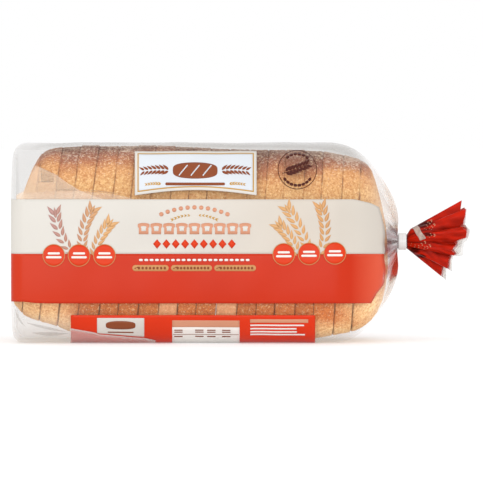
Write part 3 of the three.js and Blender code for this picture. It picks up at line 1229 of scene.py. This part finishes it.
class BREADBAG_OT_flour(bpy.types.Operator):
    """Scatters clumps of flour over the crown by Geometry Nodes"""

    bl_idname = "bread_bag.flour"
    bl_label = "Flour"

    def execute(self, context):
        loaf = bpy.data.objects["slices"]
        mesh = grow(
            new_object("flour_carrier", loaf.data.copy()),
            flour_tree(),
            "flour_clumps",
            density=context.scene.bread_bag_sizes.flour_grains,
            seed=FLOUR_SEED,
            material=flour_material(),
        )
        finish_piece(new_object("flour_clumps", mesh), "crust")
        return {"FINISHED"}


def by_the_neck(x, y, z):
    """How strongly the mauve shade and the red print show in the gathers, one above the other, with an
    uneven edge where the gathers fold them."""
    x += 1.2 * math.sin(z / 2.3) + 1.2 * math.sin(y / 3.1 + 1)
    z += 1.6 * math.sin(y / 2.2) + 1.2 * math.sin(x / 1.7)
    mauve = smooth(245, 250, x) * smooth(55, 61, z) * (1 - smooth(68, 80, z))
    red = smooth(247, 252, x) * smooth(40, 47, z) * (1 - smooth(55, 61, z))
    return mauve, red


def crown_share(x, y, z):
    """How much a point of the film is at the crown's edges, where the view from the front skims it and its
    haze is painted shade, as film seen edge on looks darker.
    """
    crown = along(LOAF_TOP, min(max(x, 14), 236))
    off_middle = smooth(3, 16, abs(y)) * smooth(8, 34, x) * (1 - smooth(225, 245, x))
    return lerp(1, 0.65, smooth(120, 170, x)) * off_middle * smooth(crown - 0.4, crown + 2.2, z)


def film_haze(x, y, z):
    """How milky the film is: least over the flat front, more behind, and more at the crown, base, shoulder
    and gathers, where most of it is painted light and shade.
    """
    wave = 0.5 + 0.5 * gather_wave(math.atan2(z - MID_HEIGHT, y))
    mauve, red = by_the_neck(x, y, z)
    haze = lerp(0.07, 0.25, smooth(-12, 25, y))
    # Painted shade where the view from the front skims the film edge on, at the crown's edges and at the flat
    # end
    haze += 0.32 * crown_share(x, y, z)
    haze += 0.15 * (1 - smooth(0, 3, x))
    # Low down the haze is painted light: along the base the film is seen edge on and darker, and at the lower
    # left it is a milky painted reflection
    haze += 0.12 * (1 - smooth(1, 9, z))
    haze += 0.12 * (1 - smooth(30, 60, x)) * (1 - smooth(10, 24, z))
    # Painted highlights: milky film over the shoulder, strongest along the gathers
    haze += smooth(236, 255, x) * (0.14 + 0.22 * wave**2)
    # Painted shade in the gathers by the neck, where the film turns mauve, darkest in a patch at the front;
    # the red is print seen through the gathers
    haze += 0.36 * mauve * (0.25 + 0.75 * wave**2) + 0.2 * red * (0.4 + 0.6 * wave)
    if y < 0:
        haze += 0.36 * mauve * (1 - smooth(0.3, 1, math.hypot((x - 249) / 4, (z - 63) / 7)))
    return min(haze, 0.9)


def film_tint(x, y, z):
    """Which shade the film has: milky where it is crumpled and where it carries painted reflections, clear,
    mauve as painted shade in the gathers, or red where the print shows through them.
    """
    mauve, red = [min(2.5 * share, 1) for share in by_the_neck(x, y, z)]
    inside = min(z - along(LOAF_BASE, x), along(LOAF_TOP, x) - z, LOAF_END - x)
    over_loaf = smooth(-1, 1.5, inside)
    milky = max(smooth(225, 245, x), (1 - smooth(14, 30, z)) * (1 - smooth(36, 70, x)))
    milky *= lerp(lerp(0.66, 0.9, smooth(150, 230, x)), 1, over_loaf)
    plain = 0.25 * (1 - max(milky, 0.5 * (1 - smooth(5, 13, z)) * smooth(100, 180, x)))
    return lerp(lerp(plain, 0.6, mauve), 1, red)


def film_rows():
    """The rings of the body as (x, share), from the flat end to the neck."""
    rows = [(-END_BULGE * (1 - (i / 8) ** 2), END_RIM * i / 8) for i in range(1, 9)]
    for i in range(1, 9):
        turn = math.pi / 2 * i / 8
        rows.append((END_FILLET * (1 - math.cos(turn)), fillet_share(turn)))
    rows += [(lerp(END_FILLET, SHOULDER_START, i / 72), 1) for i in range(1, 73)]
    last = math.acos(NECK_RADIUS / MID_HEIGHT)
    for i in range(1, 56):
        turn = last * i / 56
        rows.append((SHOULDER_START + SHOULDER_LENGTH * math.sin(turn), math.cos(turn)))
    return rows


class BREADBAG_OT_film(bpy.types.Operator):
    """Makes the clear film of the body: flat end, sides, gathered shoulder and neck"""

    bl_idname = "bread_bag.film"
    bl_label = "Film of the body"

    def execute(self, context):
        sides = 272
        turns = [2 * math.pi * i / sides for i in range(sides)]
        rows = film_rows()
        points = [Vector((-END_BULGE, 0, MID_HEIGHT))]
        points += [film_point(x, share, turn) for x, share in rows for turn in turns]
        neck_ends = (BODY_LENGTH, NECK_END + 0.3)
        for x in neck_ends:
            for turn in turns:
                y, z = NECK_RADIUS * math.cos(turn), MID_HEIGHT + NECK_RADIUS * math.sin(turn)
                points.append(Vector((x, y, z)))
        points.append(Vector((neck_ends[1], 0, MID_HEIGHT)))
        faces = [(0, 1 + (i + 1) % sides, 1 + i) for i in range(sides)]
        for quad in grid_faces(len(rows) + len(neck_ends), sides, loop=True):
            faces.append(tuple(1 + k for k in quad))
        last = len(points) - 1
        faces += [(last, last - sides + i, last - sides + (i + 1) % sides) for i in range(sides)]
        piece = make_mesh("film_body", points, faces, film_material())
        places = [
            ((v.co.x - FLAT_END) / MM, v.co.y / MM, v.co.z / MM) for v in piece.data.vertices
        ]
        mark_points(piece.data, "haze", [film_haze(*place) for place in places])
        mark_points(piece.data, "tint", [film_tint(*place) for place in places])
        finish_piece(piece, "bag_film", "bag")
        return {"FINISHED"}


# Where the second layer of film, which carries a painted reflection, meets the loaf's outline, as stations of
# (height, along)
FOLD_EDGE = ((93, -3), (97, 1), (100, 6.6), (107, 9.7), (113.7, 12.4), (120, 16), (130, 24))

# Soft creases, drawn as strips of hazy film that are painted shade along the folds: start, bend and end of
# each, and half its width
CREASE_SHADE_LINES = (
    (((47, 100.8), (60, 99.8), (73, 97.4)), 0.35),
    (((27, 100.4), (36, 100.8), (45, 100.2)), 0.3),
    (((15.4, 105.8), (21, 106.8), (27.4, 106)), 0.35),
    (((18.2, 115), (18.9, 111), (18.6, 106.6)), 0.3),
    (((8, 12), (20, 8.4), (36, 5.6)), 0.9),
    (((12, 5.2), (24, 3.6), (37, 4.6)), 1.2),
    (((1.2, 21), (2.6, 14), (8, 9)), 0.7),
)


def end_fold_and_reflection_look(u, v):
    """Haze and tint of the fold at the flat end, partly a second layer and partly a painted reflection of the
    lights, hazier towards the end as painted light over the crust's shade, with two pleats painted darker as
    painted shade.
    """
    over_loaf = smooth(-0.8, 1.2, u - along(FOLD_EDGE, v))
    pleat = smooth(17.6, 18.8, u) * (1 - smooth(26.6, 27.6, u)) * smooth(105.6, 106.6, v)
    lower = smooth(27.6, 28.6, u) * (1 - smooth(40, 46, u)) * smooth(99.8, 100.6, v)
    at_end = 1 - smooth(4, 9, u)
    haze = over_loaf * (0.27 + 0.28 * at_end + 0.06 * max(pleat, lower))
    return haze, 0.4 - 0.084 * max(pleat, 0.6 * lower)


# The film that has slipped over the panel's corner, up to the lower edge of its label
SLIP_EDGE = ((37.6, 8.4), (54.5, 5.6), (57, 4.5), (87.4, 2.3), (95, 0.5))


def base_fold_and_highlight_look(u, v):
    """Haze and tint of the film slipped over the panel's corner, milkiest along its edge as a painted
    highlight.
    """
    return 0.2 + 0.22 * smooth(-1.8, -0.4, v - along(SLIP_EDGE, u)), 0.06


def add_flap(name, span, low, edge, lift, look, placing=on_front):
    """A second layer of film under an edge of (along, height) stations, with its own haze and tint, which
    also carry painted reflections and shade.
    """
    flap = Print()
    flap.panel(span[0], span[1], low, lambda u: along(edge, u), 70, 40)
    piece = flap.wrap(name, bpy.data.materials[FILM], "bag_film", lift, (placing,), 0.03)
    hazes, tints = zip(*[look(u, v) for u, v in flap.points])
    if len(hazes) != len(piece.data.vertices):
        raise RuntimeError(name + " has lost points")
    mark_points(piece.data, "haze", hazes)
    mark_points(piece.data, "tint", tints)


class BREADBAG_OT_folds(bpy.types.Operator):
    """Adds the second layers of film that lie folded behind the front, at the flat end and the base, with
    painted reflections in them, and strips of painted shade along the creases
    """

    bl_idname = "bread_bag.folds"
    bl_label = "Folded layers"

    def execute(self, context):
        slant = ((0, 128), (13.9, 117.7), (18.6, 115.7), (28.5, 111), (34.5, 106.4), (45.2, 99.8), (62, 94))
        sag = ((2, 98.5), (27.2, 99.8), (44.6, 100.1), (61.8, 98.8), (74.4, 96.4), (82, 94))
        add_flap("end_fold", (1.5, 62), 93.5, slant, -0.35, end_fold_and_reflection_look)
        add_flap("end_fold_lower", (1.5, 82), 91, sag, -0.6, lambda u, v: (0.15 * smooth(4, 10, u), 0.4))
        add_flap("base_fold", (37.6, 95), -3, SLIP_EDGE, 0.5, base_fold_and_highlight_look, on_slope)
        creases = Print()
        for (start, bend, end), half in CREASE_SHADE_LINES:
            line = bend_path(start, bend, end)
            steep = abs(end[1] - start[1]) > abs(end[0] - start[0])
            across = (half, 0.1) if steep else (0.1, half)
            swell = [math.sin(math.pi * i / (len(line) - 1)) for i in range(len(line))]
            creases.strip(line, [(across[0] * k, across[1] * k) for k in swell])
        piece = creases.wrap("film_creases", bpy.data.materials[FILM], "bag_film", 0.06, wall=0.03)
        count = len(piece.data.vertices)
        mark_points(piece.data, "haze", [0.17] * count)
        mark_points(piece.data, "tint", [0.25] * count)
        return {"FINISHED"}


# Where the print ends along the tail, as stations of (degrees from the top, share of the reach)
PRINT_ENDS = (
    (0, 0.99), (15, 0.99), (40, 0.985), (52, 0.91), (80, 0.965), (86, 0.82), (97, 0.855), (107, 0.79),
    (121, 0.94), (150, 0.88), (180, 0.87),
)


def print_edge(angle):
    """How far along the tail the print reaches, notched where the film was folded over."""
    back = smooth(0, 0.3, math.cos(angle))
    return min(along(PRINT_ENDS, from_top(angle)) + 0.06 * back, 0.99)


# Rows of pale marks by the neck, partly print and partly painted glints: paths of mm past the neck and above
# its middle, and how many in each
TAIL_FLECKS = (
    (((12.4, 8.2), (13.4, 11.4), (16.4, 13.4)), 4),
    (((16, 8.2), (16.6, 9.6), (18, 11)), 3),
    (((14.2, 3.4), (15.4, 4.8), (17.6, 4.6)), 3),
    (((2.4, -1.6), (6.5, -3.4), (12, -0.4)), 5),
    (((9.4, -2.6), (11.5, -4.2), (15, -2.6)), 4),
)


def on_tail(u, v, lift=0.0):
    """The tail's front point that the view shows at u mm past the neck and v mm above its middle."""
    low, high = math.pi / 2, 1.5 * math.pi
    for _ in range(22):
        angle = (low + high) / 2
        share = u / along(TAIL_RIM, from_top(angle))
        if tail_point(share, angle).z - MID_HEIGHT > v:
            low = angle
        else:
            high = angle
    return tail_point(share, angle, lift)


# Where dark print is drawn together on the front of the tail: middle past the neck and above its
# middle, and how far it reaches each way
TAIL_SMUDGES = (((10.6, 12), (7.5, 4.6)), ((15, 5), (4.2, 2)), ((5, -5.8), (5.5, 3)), ((10, -10), (6, 1.6)))


def fold_shade(share, angle):
    """Painted shade and light on the tail's ink: painted shade in the creases, painted highlights and shade
    in streaks, darkest where dark print is drawn together.
    """
    crease = 0.5 * smooth(-0.2, 0.8, -pleat_wave(angle)) * (1 - 0.35 * share)
    streak = 0.24 * math.sin(27 * angle + 4 * math.sin(5 * share)) * math.sin(7 * share + 5 * angle)
    place = tail_point(share, angle)
    dark = 0
    if math.cos(angle) < 0:
        for (u, v), (wide, high) in TAIL_SMUDGES:
            away = math.hypot((place.x - NECK_END - u) / wide, (place.z - MID_HEIGHT - v) / high)
            dark = max(dark, 1 - smooth(0.5, 1, away + 0.8 * streak))
    return (1.06 - crease + streak) * (1 - 0.8 * dark)


def tail_ink():
    """Red ink on crumpled film: glossier than on the flat, with painted shade in its creases and painted
    highlights and shade along its folds.
    """
    material, add = new_material("gravure_ink_red_tail")
    depth = add(MARK, attribute_name="ink_depth").outputs["Fac"]
    red = add(DEEPEN, {"Value": depth, "Color": tint("tail_red")})
    dents = crinkle(add, 5, 0.25)
    close_material(add, Base_Color=red, Normal=dents, Roughness=0.28, Specular_IOR_Level=0.06)
    return material


class BREADBAG_OT_tail(bpy.types.Operator):
    """Makes the pleated tail behind the tape: clear film with a red print and an unprinted hem"""

    bl_idname = "bread_bag.tail"
    bl_label = "Tail"

    def execute(self, context):
        sides, rows = 400, 34
        spots = [(r / (rows - 1), 2 * math.pi * i / sides) for r in range(rows) for i in range(sides)]
        faces = grid_faces(rows, sides, loop=True)
        points = [tail_point(share, turn) for share, turn in spots]
        clear = make_mesh("tail_film", points, faces, bpy.data.materials[FILM])
        past = [share - print_edge(turn) for share, turn in spots]
        mark_points(clear.data, "haze", [lerp(0.4, 0.24, smooth(-0.02, 0.06, p)) for p in past])
        mark_points(clear.data, "tint", [lerp(1.0, 0.12, smooth(0, 0.1, p)) for p in past])
        add_wall(clear, 0.12, -1)
        finish_piece(clear, "bag_film", "bag")

        points = [tail_point(print_edge(turn) * share, turn, 0.06) for share, turn in spots]
        inked = make_mesh("tail_print", points, faces, tail_ink())
        mark_points(inked.data, "ink_depth", [fold_shade(share, turn) for share, turn in spots])
        add_wall(inked, 0.05, 1)
        finish_piece(inked, "red_print")

        # A strip that took no ink, running slantwise near the neck on the front, and small pale marks, partly
        # print and partly painted glints
        pale = print_material("polythene_film_unprinted", "#aa958b", 0.25, 2.2, 0.25)
        strip = Print()
        shares = [i / 20 for i in range(21)]
        strip.strip([(lerp(5.4, 10.6, k), lerp(9.9, 1.6, k)) for k in shares], [(1.9, 0.8)] * 21, 9)
        strip.wrap("tail_bare_strip", pale, "bag_film", 0.25, (on_tail,), 0.04)
        flecks = Print()
        for path, count in TAIL_FLECKS:
            for turn in (0.5, -0.5):
                flecks.stamps(leaf_stamp(1.3, 0.6), path, count, (0.5, 1.1), turn, 1.6 * turn)
        flecks.wrap("tail_flecks", ink("word"), "tan_print", 0.2, (on_tail,), 0.03)
        return {"FINISHED"}


class BREADBAG_OT_tape(bpy.types.Operator):
    """Gives the tape round the neck its milky finish"""

    bl_idname = "bread_bag.tape"
    bl_label = "Neck tape"

    def execute(self, context):
        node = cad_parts["neck_tape"]
        node.data.materials.clear()
        node.data.materials.append(tape_material())
        return {"FINISHED"}


# The bands across the front, in the view's millimetres
BAND_LOW = 24.7
BAND_SPLIT = 57.9
BAND_HIGH = 94.4
BAND_TOP_EDGE = ((0, 94.4), (200, 94.3), (228, 94.4), (239.3, 91.8), (246.6, 88.1), (248.3, 83.8))
END_SINK = 4.4  # how far the bands have sunk where they pass the flat end to the back
BAND_LOW_EDGE = ((0, 27.2), (7, 25.8), (14, 25), (22, 24.7), (260, 24.7))
BAND_RIGHT = (
    (24.7, 239.3), (26.9, 240.7), (31.9, 243.3), (37.9, 248.6), (52.5, 248.6), (57.2, 247.7),
    (60.5, 248.3), (83.8, 248.3), (88.1, 246.6), (94.4, 244.6),
)


def band_points(low, high, rows, lift):
    """Rows of points of a band, from the right edge of the front round the flat end to the back. Round
    the end it sinks to the back, where the film is slack, and rises again along the back."""
    columns = 110
    parts = [fillet_share(math.pi / 2 * (1 - c / 8)) for c in range(9)]
    grid = []
    for r in range(rows):
        share = r / (rows - 1)
        line = lerp(low, high, share)
        right = along(BAND_RIGHT, line)
        start_z = on_front(10, line).z
        start_u = view_along(END_FILLET, -side_reach(1, start_z), start_z)
        row = []
        for c in range(columns):
            u = lerp(right, start_u, c / (columns - 1))
            v = line
            if high == BAND_HIGH:
                v = lerp(low, min(along(BAND_TOP_EDGE, u), BAND_HIGH), share)
            if low == BAND_LOW:
                v = lerp(along(BAND_LOW_EDGE, u), high, share)
            row.append(on_front(u, v, lift))
        front_z = on_front(start_u, v).z
        back_z = front_z - END_SINK
        for part in parts[1:]:
            row.append(on_skin(end_at(part), -side_reach(part, front_z), front_z, lift))
        rim = side_reach(END_RIM, front_z)
        for c in range(1, 24):
            y = lerp(-rim, rim, c / 24)
            z = front_z - END_SINK * smooth(0, 1, c / 24)
            row.append(on_skin(end_at(level(y, z)), y, z, lift))
        for part in reversed(parts):
            row.append(on_skin(end_at(part), side_reach(part, back_z), back_z, lift))
        for c in range(1, columns):
            x = lerp(END_FILLET, 240, c / (columns - 1))
            z = front_z - END_SINK * (1 - smooth(END_FILLET, 60, x))
            row.append(on_skin(x, side_reach(share_at(x), z), z, lift))
        grid.append(row)
    return grid


class BREADBAG_OT_bands(bpy.types.Operator):
    """Prints the cream band and the red band round the front, the flat end and the back"""

    bl_idname = "bread_bag.bands"
    bl_label = "Cream and red bands"

    def execute(self, context):
        # Each band by its edges and rows, and how far its ink goes towards a second colour along the pack,
        # which is a painted sheen on the red and painted shade on the cream
        cream_stops = ((0.1, 0.0), (0.4, 0.15), (0.75, 0.9), (1.0, 0.5))
        red_stops = ((0.04, 0.12), (0.3, 0.0), (0.9, 0.0), (0.97, 0.9))
        bands = (
            ("cream", BAND_SPLIT, BAND_HIGH, 22, "#bfb5a9", cream_stops),
            ("red", BAND_LOW, BAND_SPLIT, 20, "#cf5236", red_stops),
        )
        for key, low, high, rows, shoulder, stops in bands:
            grid = band_points(low, high, rows, 0.08)
            points = [p for row in grid for p in row]
            faces = grid_faces(rows, len(grid[0]))
            piece = make_mesh(key + "_band", points, faces, band_material(key, shoulder, stops))
            piece.data.flip_normals()
            finish_piece(add_wall(piece, 0.05, 1), key + "_print")
        return {"FINISHED"}


def ink(key):
    """The ink of one colour, made once."""
    name = "gravure_ink_" + key
    if name not in bpy.data.materials:
        print_material(name, tint(key))
    return bpy.data.materials[name]


PLAQUE_MIDDLE = 121.5


def plaque_low(u):
    """The plaque's lower edge, which arches up in its middle."""
    return 97.0 + 3.6 * math.sin(math.pi * min(max((u - 81) / 81.6, 0), 1))


class BREADBAG_OT_plaque(bpy.types.Operator):
    """Prints the framed plaque at the top, with a plain loaf between two ears of wheat"""

    bl_idname = "bread_bag.plaque"
    bl_label = "Plaque"

    def execute(self, context):
        # The board, its gold line and its face, each within the one before
        layers = (
            ("plaque_board", "cream", "cream_print", 81.1, 162.6, 0, 126.6, 0.1),
            ("plaque_gold_line", "gold", "tan_print", 82.9, 160.8, 1.9, 125.2, 0.17),
            ("plaque_face", "panel", "cream_print", 83.7, 160.0, 2.7, 124.5, 0.24),
        )
        for name, key, slot, left, right, inset, top, lift in layers:
            layer = Print()
            layer.panel(left, right, lambda u: plaque_low(u) + inset, top, 60, 28)
            layer.wrap(name, ink(key), slot, lift)

        marks = Print()
        loaf = [math.pi * i / 24 for i in range(25)]
        middles = [(PLAQUE_MIDDLE - 15 * math.cos(t), 113.6) for t in loaf]
        halves = [(0, 5.4 * math.sin(t) ** 0.55) for t in loaf]
        marks.strip(middles, halves, 9)
        for side in (-1, 1):
            places = ((18, 113.6), (25, 114.6), (34, 113.4))
            path = bend_path(*((PLAQUE_MIDDLE + side * away, v) for away, v in places))
            for turn, offset in ((0.6, -0.5), (-0.6, 0.5)):
                marks.stamps(leaf_stamp(5.2, 2.0), path, 7, (1, 0.8), turn, offset)
        marks.bar(101.5, 141.5, 104.6, 1.9)
        marks.wrap("plaque_marks", ink("brown"), "brown_print", 0.31)
        cuts = Print()
        for place in (113.5, 121.5, 129.5):
            path = bend_path((place - 2.4, 110.8), (place - 0.2, 113.6), (place + 2.4, 116.6))
            cuts.stamps(bar_stamp(1.6, 0.8), path, 7)
        cuts.wrap("plaque_cuts", ink("panel"), "cream_print", 0.38)
        sprigs = Print()
        for side in (-1, 1):
            places = ((23, 104.6), (27, 105.2), (32, 104.4))
            path = bend_path(*((PLAQUE_MIDDLE + side * away, v) for away, v in places))
            for turn in (0.45, -0.45):
                sprigs.stamps(leaf_stamp(2.6, 1.0), path, 6, (1, 0.8), turn)
        sprigs.wrap("plaque_sprigs", ink("gold"), "tan_print", 0.31)
        return {"FINISHED"}


class BREADBAG_OT_badge(bpy.types.Operator):
    """Prints the round badge on the clear film, with an ear of wheat inside a ring"""

    bl_idname = "bread_bag.badge"
    bl_label = "Round badge"

    def execute(self, context):
        u, v, radius = 189.9, 114.2, 12.9
        badge = Print()
        badge.ring(u, v, radius, 0.5)
        for start, end, count in ((128, 52, 6), (218, 322, 8)):
            badge.stamps(bar_stamp(2.6, 1.9), arc_path(u, v, radius - 2.4, start, end), count)
        ear = bend_path((u - 7.6, v - 1.6), (u - 1, v + 0.2), (u + 6, v + 3.2))
        for turn, offset in ((0.62, -0.5), (-0.62, 0.5)):
            badge.stamps(leaf_stamp(5.0, 2.3), ear, 7, (1, 0.85), turn, offset)
        stem = bend_path((u - 9.5, v - 2.4), (u - 3, v - 0.5), (u + 6, v + 3.2))
        badge.stamps(bar_stamp(1.6, 0.45), stem, 14)
        badge.wrap("badge_print", ink("badge"), "brown_print", 0.1, BOTH_SIDES)
        return {"FINISHED"}


# The middle of each round claim, and where each pill starts and ends
DISCS = ((26.9, 56.9), (43.8, 56.9), (60.8, 56.9), (180.8, 57.6), (197.7, 57.9), (215.0, 58.3))
PILLS = ((79.4, 103.8), (105.3, 132.8), (134.2, 162.2))


class BREADBAG_OT_claims(bpy.types.Operator):
    """Prints the six round claims and the three pills, with plain bars for their words"""

    bl_idname = "bread_bag.claims"
    bl_label = "Discs and pills"

    def execute(self, context):
        radius = context.scene.bread_bag_sizes.disc_radius / MM
        discs, rims, words = Print(), Print(), Print()
        for u, v in DISCS:
            discs.disc(u, v, radius)
            rims.ring(u, v, radius, 0.42)
            words.bar(u - 4.1, u + 4.1, v + 1.3, 1.5)
            words.bar(u - 5.2, u + 5.2, v - 1.3, 1.5)
        words.stamps(bar_stamp(2.6, 1.5), [(85.2, 53.8), (156.6, 53.8)], 21)
        discs.wrap("claim_discs", ink("disc"), "red_print", 0.3, BOTH_SIDES)
        rims.wrap("claim_rims", ink("tan"), "tan_print", 0.38, BOTH_SIDES)
        words.wrap("claim_words", ink("white"), "cream_print", 0.46, BOTH_SIDES)
        pills, marks = Print(), Print()
        for start, end in PILLS:
            pills.bar(start, end, 48.4, 4.1)
            count = round((end - start - 5) / 2.3)
            marks.stamps(bar_stamp(1.7, 1.9), [(start + 4.5, 48.4), (end - 2.6, 48.4)], count)
            marks.stamps(leaf_stamp(1.8, 0.8), [(start + 1.4, 48.0), (start + 2.8, 48.6)], 2)
        pills.wrap("claim_pills", ink("tan"), "tan_print", 0.2, BOTH_SIDES)
        marks.wrap("pill_marks", ink("brown"), "brown_print", 0.28, BOTH_SIDES)
        return {"FINISHED"}


class BREADBAG_OT_headline(bpy.types.Operator):
    """Prints plain ornaments in the places of the words on the cream band"""

    bl_idname = "bread_bag.headline"
    bl_label = "Headline ornaments"

    def execute(self, context):
        tan = Print()
        tan.stamps(bar_stamp(3.0, 2.9), arc_path(121, 33.5, 55.5, 113.5, 66.5), 11)
        tan.stamps(slice_stamp(7.9), [(87, 74.8), (155, 74.8)], 9)
        tan.wrap("headline_tan", ink("word"), "tan_print", 0.2, BOTH_SIDES)
        sprig = Print()
        for side in (-1, 1):
            path = bend_path((121 + side * 3, 83.6), (121 + side * 8, 83.9), (121 + side * 14, 81.2))
            for turn in (0.4, -0.4):
                sprig.stamps(leaf_stamp(2.4, 0.95), path, 6, (0.8, 1.0), turn)
        sprig.wrap("headline_sprig", ink("gold"), "tan_print", 0.2, BOTH_SIDES)
        red = Print()
        red.stamps(lozenge_stamp(5.4, 6.4), [(96, 64.5), (146, 64.5)], 9)
        red.wrap("headline_red", ink("disc"), "red_print", 0.2, BOTH_SIDES)
        holes = Print()
        holes.stamps(slice_stamp(3.6), [(87, 74.8), (155, 74.8)], 9)
        holes.wrap("headline_slice_crumb", ink("cream"), "cream_print", 0.28, BOTH_SIDES)
        return {"FINISHED"}


# Ears of wheat: foot, bend and tip of each stem, and how many pairs of husks it carries
EARS = (
    ((40.5, 58), (30, 68), (28, 84), 7),
    ((47, 58), (44, 72), (52, 86), 8),
    ((54, 57), (55, 66), (63.5, 77), 7),
    ((205, 58), (211, 70), (206, 88), 8),
    ((198, 58), (194, 72), (184, 87), 8),
    ((190, 57), (188, 66), (178.5, 76), 7),
)


class BREADBAG_OT_ears(bpy.types.Operator):
    """Prints the ears of wheat behind the discs, husk by husk along their stems"""

    bl_idname = "bread_bag.ears"
    bl_label = "Ears of wheat"

    def execute(self, context):
        ears = Print()
        for foot, bend, tip, pairs in EARS:
            path = bend_path(foot, bend, tip)
            for turn, offset in ((0.55, -0.7), (-0.55, 0.7)):
                ears.stamps(leaf_stamp(7.4, 2.8), path, pairs, (0.75, 1.05), turn, offset)
            ears.stamps(leaf_stamp(7.4, 2.6), [path[-2], path[-1]], 1)
        ears.wrap("wheat_ears", wheat_material(), "tan_print", 0.2, BOTH_SIDES)
        return {"FINISHED"}


class BREADBAG_OT_info(bpy.types.Operator):
    """Prints the red information panel along the lower edge and under it, with a label and a table"""

    bl_idname = "bread_bag.info"
    bl_label = "Information panel"

    def execute(self, context):
        panel = Print()
        panel.panel(38.2, 201.8, turn_at(17), -96, 90, 40)
        # The panel's red is painted lighter than the band's, as painted light on the underside that faces
        # away from the lamps
        panel.wrap("info_panel", ink("low_red"), "red_print", 0.08, (on_base,))
        label, table, tan, white, brown = Print(), Print(), Print(), Print(), Print()
        label.panel(55.8, 87.4, lambda u: turn_at(lerp(4.9, 2.7, (u - 55.8) / 31.6)), turn_at(15.2), 20, 12)
        tan.panel(106.1, 151.2, turn_at(8.9), turn_at(13.5), 20, 6)
        table.panel(106.1, 151.2, -101, turn_at(8.9), 20, 16)
        tan.panel(158.2, 197.2, turn_at(11.9), turn_at(14.3), 20, 4)
        for v in (10.2, 7.9, 5.8, 4.0):
            white.panel(158.4, 195 - 3 * (v % 2), turn_at(v - 0.5), turn_at(v + 0.5), 20, 2)
        brown.panel(106.6, 150.7, turn_at(3.9), turn_at(4.2), 20, 1)
        for place in (107.5, 121.5, 129.5, 139.5):
            for v in (6.9, 5.6, 2.7):
                brown.panel(place, place + 5.6, turn_at(v - 0.35), turn_at(v + 0.35), 4, 1)
        low, high = turn_at(7.6), turn_at(13.2)
        loaf = [math.pi * i / 20 for i in range(21)]
        middles = [(71.6 - 10 * math.cos(t), (low + high) / 2) for t in loaf]
        brown.strip(middles, [(0, (high - low) / 2 * math.sin(t) ** 0.55) for t in loaf], 5)
        brown.panel(63, 80.2, turn_at(5.3), turn_at(6.1), 8, 1)
        pieces = (
            ("info_label", label, "cream", "cream_print", 0.16),
            ("info_table", table, "white", "cream_print", 0.16),
            ("info_bars", tan, "word", "tan_print", 0.16),
            ("info_lines", white, "white", "cream_print", 0.16),
            ("info_marks", brown, "brown", "brown_print", 0.22),
        )
        for name, flat, key, slot, lift in pieces:
            flat.wrap(name, ink(key), slot, lift, (on_base,), 0.03)
        return {"FINISHED"}


class BREADBAG_PT_panel(bpy.types.Panel):
    """Sizes and steps of the bread bag"""

    bl_label = "Bread bag"
    bl_idname = "BREADBAG_PT_panel"
    bl_space_type = "VIEW_3D"
    bl_region_type = "UI"
    bl_category = "Bread bag"

    def draw(self, context):
        for group in (context.scene.bread_bag_sizes, context.scene.bread_bag_colours):
            for name in type(group).__annotations__:
                self.layout.prop(group, name)
        for step in STEPS:
            self.layout.operator(step.bl_idname)


STEPS = (
    BREADBAG_OT_stage,
    BREADBAG_OT_slices,
    BREADBAG_OT_flour,
    BREADBAG_OT_film,
    BREADBAG_OT_folds,
    BREADBAG_OT_tail,
    BREADBAG_OT_tape,
    BREADBAG_OT_bands,
    BREADBAG_OT_plaque,
    BREADBAG_OT_badge,
    BREADBAG_OT_claims,
    BREADBAG_OT_headline,
    BREADBAG_OT_ears,
    BREADBAG_OT_info,
)
CLASSES = (BreadBagSizes, BreadBagColours, *STEPS, BREADBAG_PT_panel)


def register():
    for item in CLASSES:
        bpy.utils.register_class(item)
    bpy.types.Scene.bread_bag_sizes = PointerProperty(type=BreadBagSizes)
    bpy.types.Scene.bread_bag_colours = PointerProperty(type=BreadBagColours)


def unregister():
    del bpy.types.Scene.bread_bag_colours
    del bpy.types.Scene.bread_bag_sizes
    for item in reversed(CLASSES):
        bpy.utils.unregister_class(item)


def main():
    register()
    for step in STEPS:
        group, name = step.bl_idname.split(".")
        getattr(getattr(bpy.ops, group), name)()


if __name__ == "__main__":
    main()
